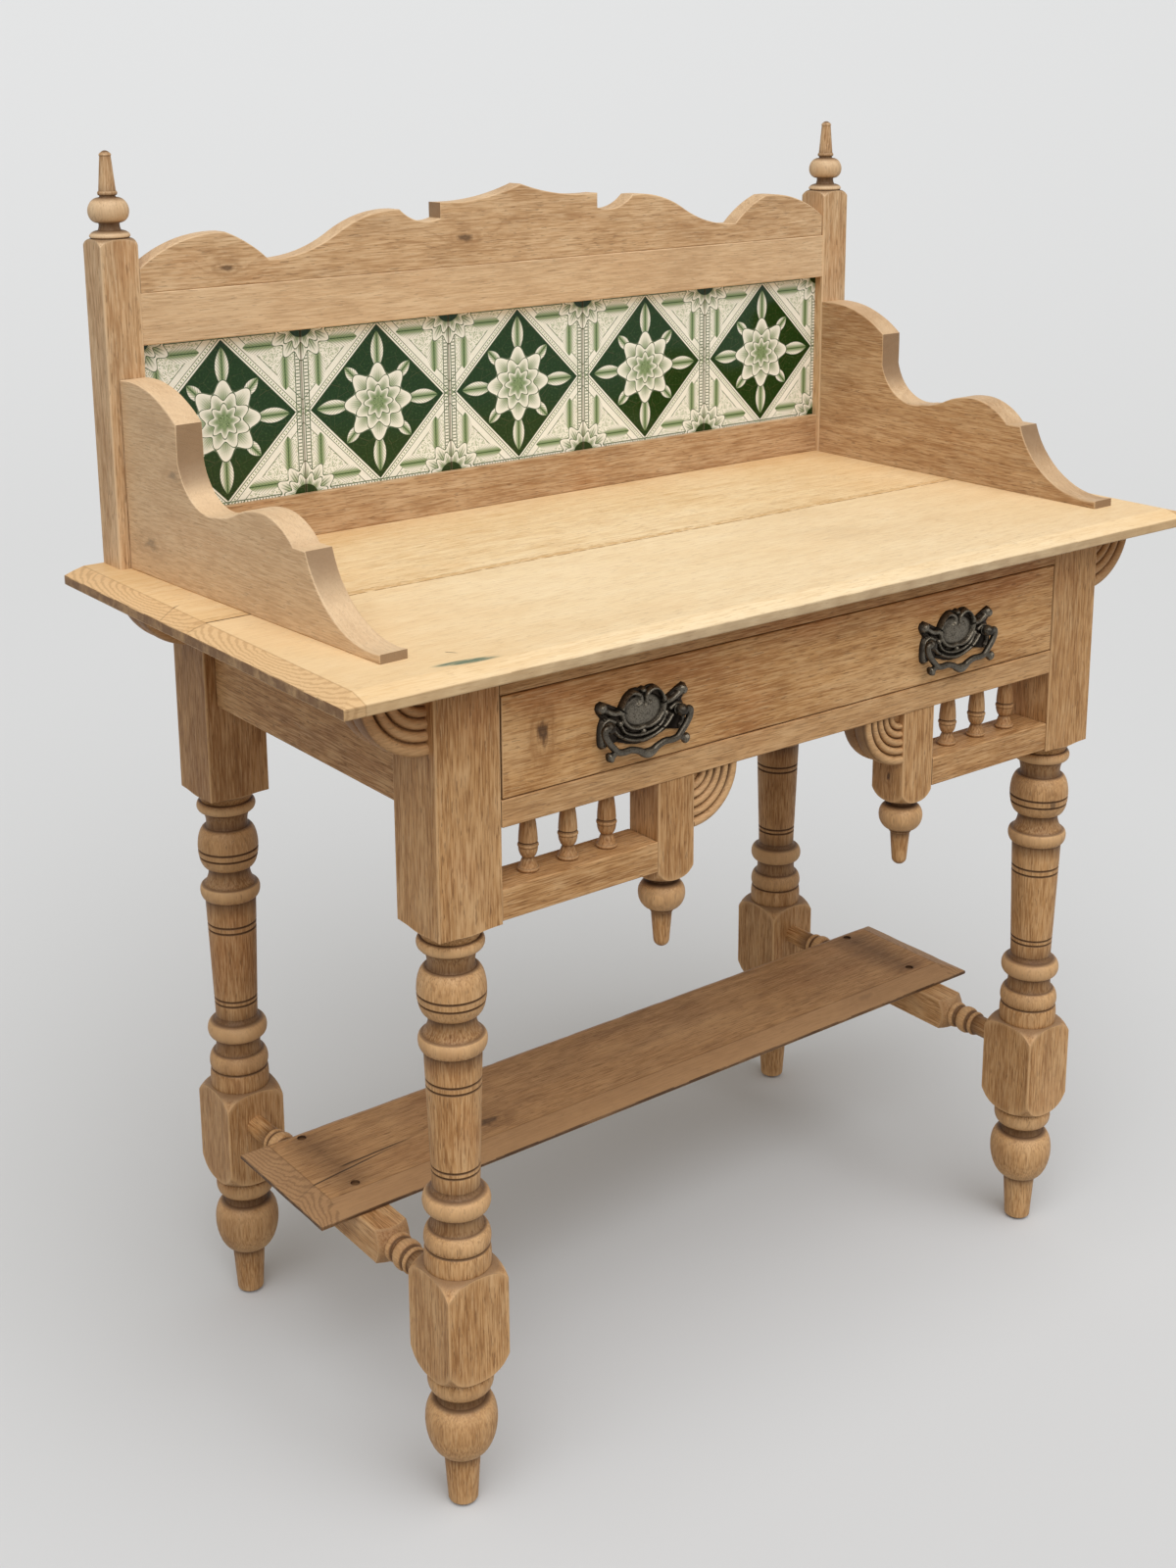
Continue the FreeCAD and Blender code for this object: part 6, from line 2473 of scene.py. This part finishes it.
    def bail(self, side: str) -> Object:
        """The bail: a round rod along a waved line, with a ball-ended tail at each lower corner.

        A ring of the rod lies across its line at each point.

        Args:
            side: Left or right.

        Returns:
            The bail's object.
        """
        right = np.array(self.bail_line)
        line = smooth_line(np.concatenate([right[:0:-1] * MIRROR, right]), 10)
        swelling = 1.3 * np.exp(-((line[:, 0] / 5.5) ** 2))
        share = np.linspace(0, 1, 24)
        tail = np.array([29.0, -18.6]) + share[:, None] * np.array([10.6, -5.0])
        neck = 2.4 + 1.9 * np.exp(-(((share - 0.72) / 0.2) ** 2))
        tail_thick = neck * np.sqrt(np.clip(1 - np.clip((share - 0.72) / 0.28, 0, 1) ** 2, 0.004, 1))
        angle = around(20)
        hinge = np.array([SIDES[side] * self.centre_x, self.hinge_y, self.centre_z + self.hinge_rise])
        skin = Skin()
        for rod, thick in ((line, self.rod + swelling), (tail, tail_thick), (tail * MIRROR, tail_thick)):
            step = np.gradient(rod, axis=0)
            way = step / np.linalg.norm(step, axis=1)[:, None]
            wide = thick[:, None] * np.cos(angle)
            deep = thick[:, None] * np.sin(angle)
            ring = np.stack([rod[:, :1] - way[:, 1:] * wide, deep, rod[:, 1:] + way[:, :1] * wide], axis=-1)
            worn = np.clip((thick[:, None] - self.rod) * 0.35 - np.sin(angle) * 0.6, 0, 1)
            skin.closed_grid(hinge + ring, worn)
        return skin.piece(f"handle_bail_{side}", "cast", DARK_CAST, None, f"bail_{side}", CAST_CREASE)

    def build(self) -> list[Object]:
        """Both handles.

        Returns:
            Their objects.
        """
        pieces = []
        for side in SIDES:
            pieces += [self.plate(side), self.posts(side), self.bail(side)]
        return pieces


def smooth_line(points: Array, steps: int = 8) -> Array:
    """A smooth line through points.

    Between two points it follows the cubic whose slope at each point is half the way from the point
    before to the point after.

    Args:
        points: The points, one to a row.
        steps: How many steps each stretch has.

    Returns:
        The line's points.
    """
    padded = np.concatenate([2 * points[:1] - points[1:2], points, 2 * points[-1:] - points[-2:-1]])
    last = len(padded) - 3
    before, start, end, after = (padded[first : first + last, None] for first in range(4))
    share = np.linspace(0, 1, steps, endpoint=False)[None, :, None]
    line = (
        start * (2 * share**3 - 3 * share**2 + 1)
        + (end - before) / 2 * (share**3 - 2 * share**2 + share)
        + end * (3 * share**2 - 2 * share**3)
        + (after - start) / 2 * (share**3 - share**2)
    )
    return np.concatenate([line.reshape(-1, points.shape[1]), points[-1:]])


def cord_height(x: Array, z: Array, line: Array, half: float, lift: float) -> Array:
    """The height of a half-round cord of metal along a line, at each point of a grid.

    Args:
        x: The grid's places across.
        z: The grid's places up.
        line: The cord's middle line.
        half: Half its width.
        lift: Its height.

    Returns:
        The height at each place.
    """
    place = np.stack([x, z], axis=-1)[..., None, :]
    start = line[:-1]
    run = line[1:] - start
    share = ((place - start) * run).sum(axis=-1) / (run**2).sum(axis=-1)
    foot = start + np.clip(share, 0, 1)[..., None] * run
    distance = np.linalg.norm(place - foot, axis=-1).min(axis=-1)
    return lift * np.sqrt(np.clip(1 - (distance / half) ** 2, 0, 1))


@dataclass
class Inside:
    """The pieces inside, which keep their nodes and get bare pine or steel."""

    deep: tuple[str, ...] = ("drawer_side", "drawer_runner", "drawer_kicker")
    across: tuple[str, ...] = ("drawer_back", "drawer_bottom", "drawer_stops", "glue_blocks", "backboard")
    steel: tuple[str, ...] = ("handle_nuts", "shelf_screws")

    def dress(self, nodes: dict[str, Object]) -> None:
        """Put the finishes in the nodes' own slots."""
        deep = [f"{name}_{side}" for name in self.deep for side in SIDES]
        looks = ((deep, inside_pine(Axis.Y)), (self.across, inside_pine(Axis.X)), (self.steel, DULL_STEEL))
        for names, finish in looks:
            for name in names:
                fill_slots(nodes[name], finish.material())


def fill_slots(piece: Object, material: Material) -> None:
    """Use one material in every slot of an object."""
    if not piece.material_slots:
        piece.data.materials.append(material)
    for place in piece.material_slots:
        place.material = material


@dataclass
class Studio:
    """A pale floor that rises gently all round, soft light, and the camera."""

    floor_radius: float = 3.0
    rise_radius: float = 14.0
    rise_angle: float = 62.0
    grey: Colour = (210, 213, 217)
    rough: float = 0.9
    sheen: float = 0.1
    air: float = 0.38
    air_colour: Colour = (255, 246, 231)
    sun: float = 2.6
    sun_from: Point = (-0.2, -0.47, 0.86)
    sun_width: float = 70.0
    image: tuple[int, int] = (1200, 1600)
    focal: float = 2030.8
    principal: Pair = (538.3, 561.9)
    eye: Point = (-1.0697, -1.2853, 1.1048)
    azimuth: float = -35.987
    pitch: float = 13.962
    roll: float = -0.73
    sensor: float = 36.0

    def floor(self) -> None:
        """A wide dish: a level disc whose edge rises along part of a circle, turned about the object."""
        turn = np.linspace(0, math.radians(self.rise_angle), 32)
        reach = np.append(0.01, self.floor_radius + self.rise_radius * np.sin(turn))
        height = np.append(0.0, self.rise_radius * (1 - np.cos(turn)))
        points = rings_about(Axis.Z, np.zeros(3), reach[:, None], -around(96), height[:, None])
        skin = Skin()
        skin.cap(skin.grid(points)[0][::-1])
        mesh = bpy.data.meshes.new("studio_floor")
        mesh.from_pydata(points.reshape(-1, 3), [], skin.faces)
        smooth(mesh)
        floor = put_in_scene("studio_floor", mesh)
        floor.visible_diffuse = False
        palette = Palette("studio_paper")
        palette.set("Base Color", linear(self.grey))
        palette.set("Roughness", self.rough)
        palette.set("Specular IOR Level", self.sheen)
        mesh.materials.append(palette.made)

    def light(self) -> None:
        """One broad soft light, as from a high window."""
        lamp = bpy.data.lights.new("high_light", "SUN")
        lamp.energy = self.sun
        lamp.angle = math.radians(self.sun_width)
        stand = put_in_scene("high_light", lamp)
        stand.rotation_euler = (-Vector(self.sun_from)).to_track_quat("-Z", "Y").to_euler()

    def world(self) -> None:
        """An even light from all round."""
        world = bpy.data.worlds.new("studio_air")
        world.use_nodes = True
        background = world.node_tree.nodes["Background"]
        background.inputs["Color"].default_value = linear(self.air_colour)
        background.inputs["Strength"].default_value = self.air
        bpy.context.scene.world = world

    def camera(self) -> None:
        """The camera where the picture was taken from.

        The view runs from the eye at an azimuth and a pitch. The camera is rolled about it. Its lens is
        the focal length in pixels over the image's long side, and its shift is how far the image's middle
        lies from the principal point.
        """
        wide, tall = self.image
        long_side = max(wide, tall)
        lens = bpy.data.cameras.new("camera")
        lens.sensor_fit = "VERTICAL"
        lens.sensor_height = self.sensor
        lens.lens = self.focal / long_side * self.sensor
        lens.shift_x = (wide / 2 - self.principal[0]) / long_side
        lens.shift_y = (self.principal[1] - tall / 2) / long_side
        lens.clip_end = 100.0
        level = Matrix.Rotation(math.radians(self.azimuth), 4, "Z")
        upright = Matrix.Rotation(math.radians(90 - self.pitch), 4, "X")
        rolled = Matrix.Rotation(math.radians(self.roll), 4, "Z")
        stand = put_in_scene("camera", lens)
        stand.matrix_world = Matrix.Translation(Vector(self.eye)) @ level @ upright @ rolled
        bpy.context.scene.camera = stand

    def build(self) -> None:
        """The whole studio."""
        self.floor()
        self.world()
        self.light()
        bpy.context.scene.view_settings.view_transform = "Standard"
        self.camera()


def main() -> None:
    """Load the frame, dress it, light it and log how many pieces were made."""
    logging.basicConfig(level=logging.INFO, format="%(name)s: %(message)s")
    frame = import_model()
    pieces = []
    for group in (Legs(), Rails(), LowerGallery(), Top(), Shelf(), Upstand(), Drawer(), Handles()):
        made = group.build()
        pieces += made
        LOG.info("%s: %d pieces", type(group).__name__, len(made))
    Inside().dress(frame["nodes"])
    Studio().build()
    LOG.info("%d pieces in all", len(pieces))


if __name__ == "__main__":
    main()
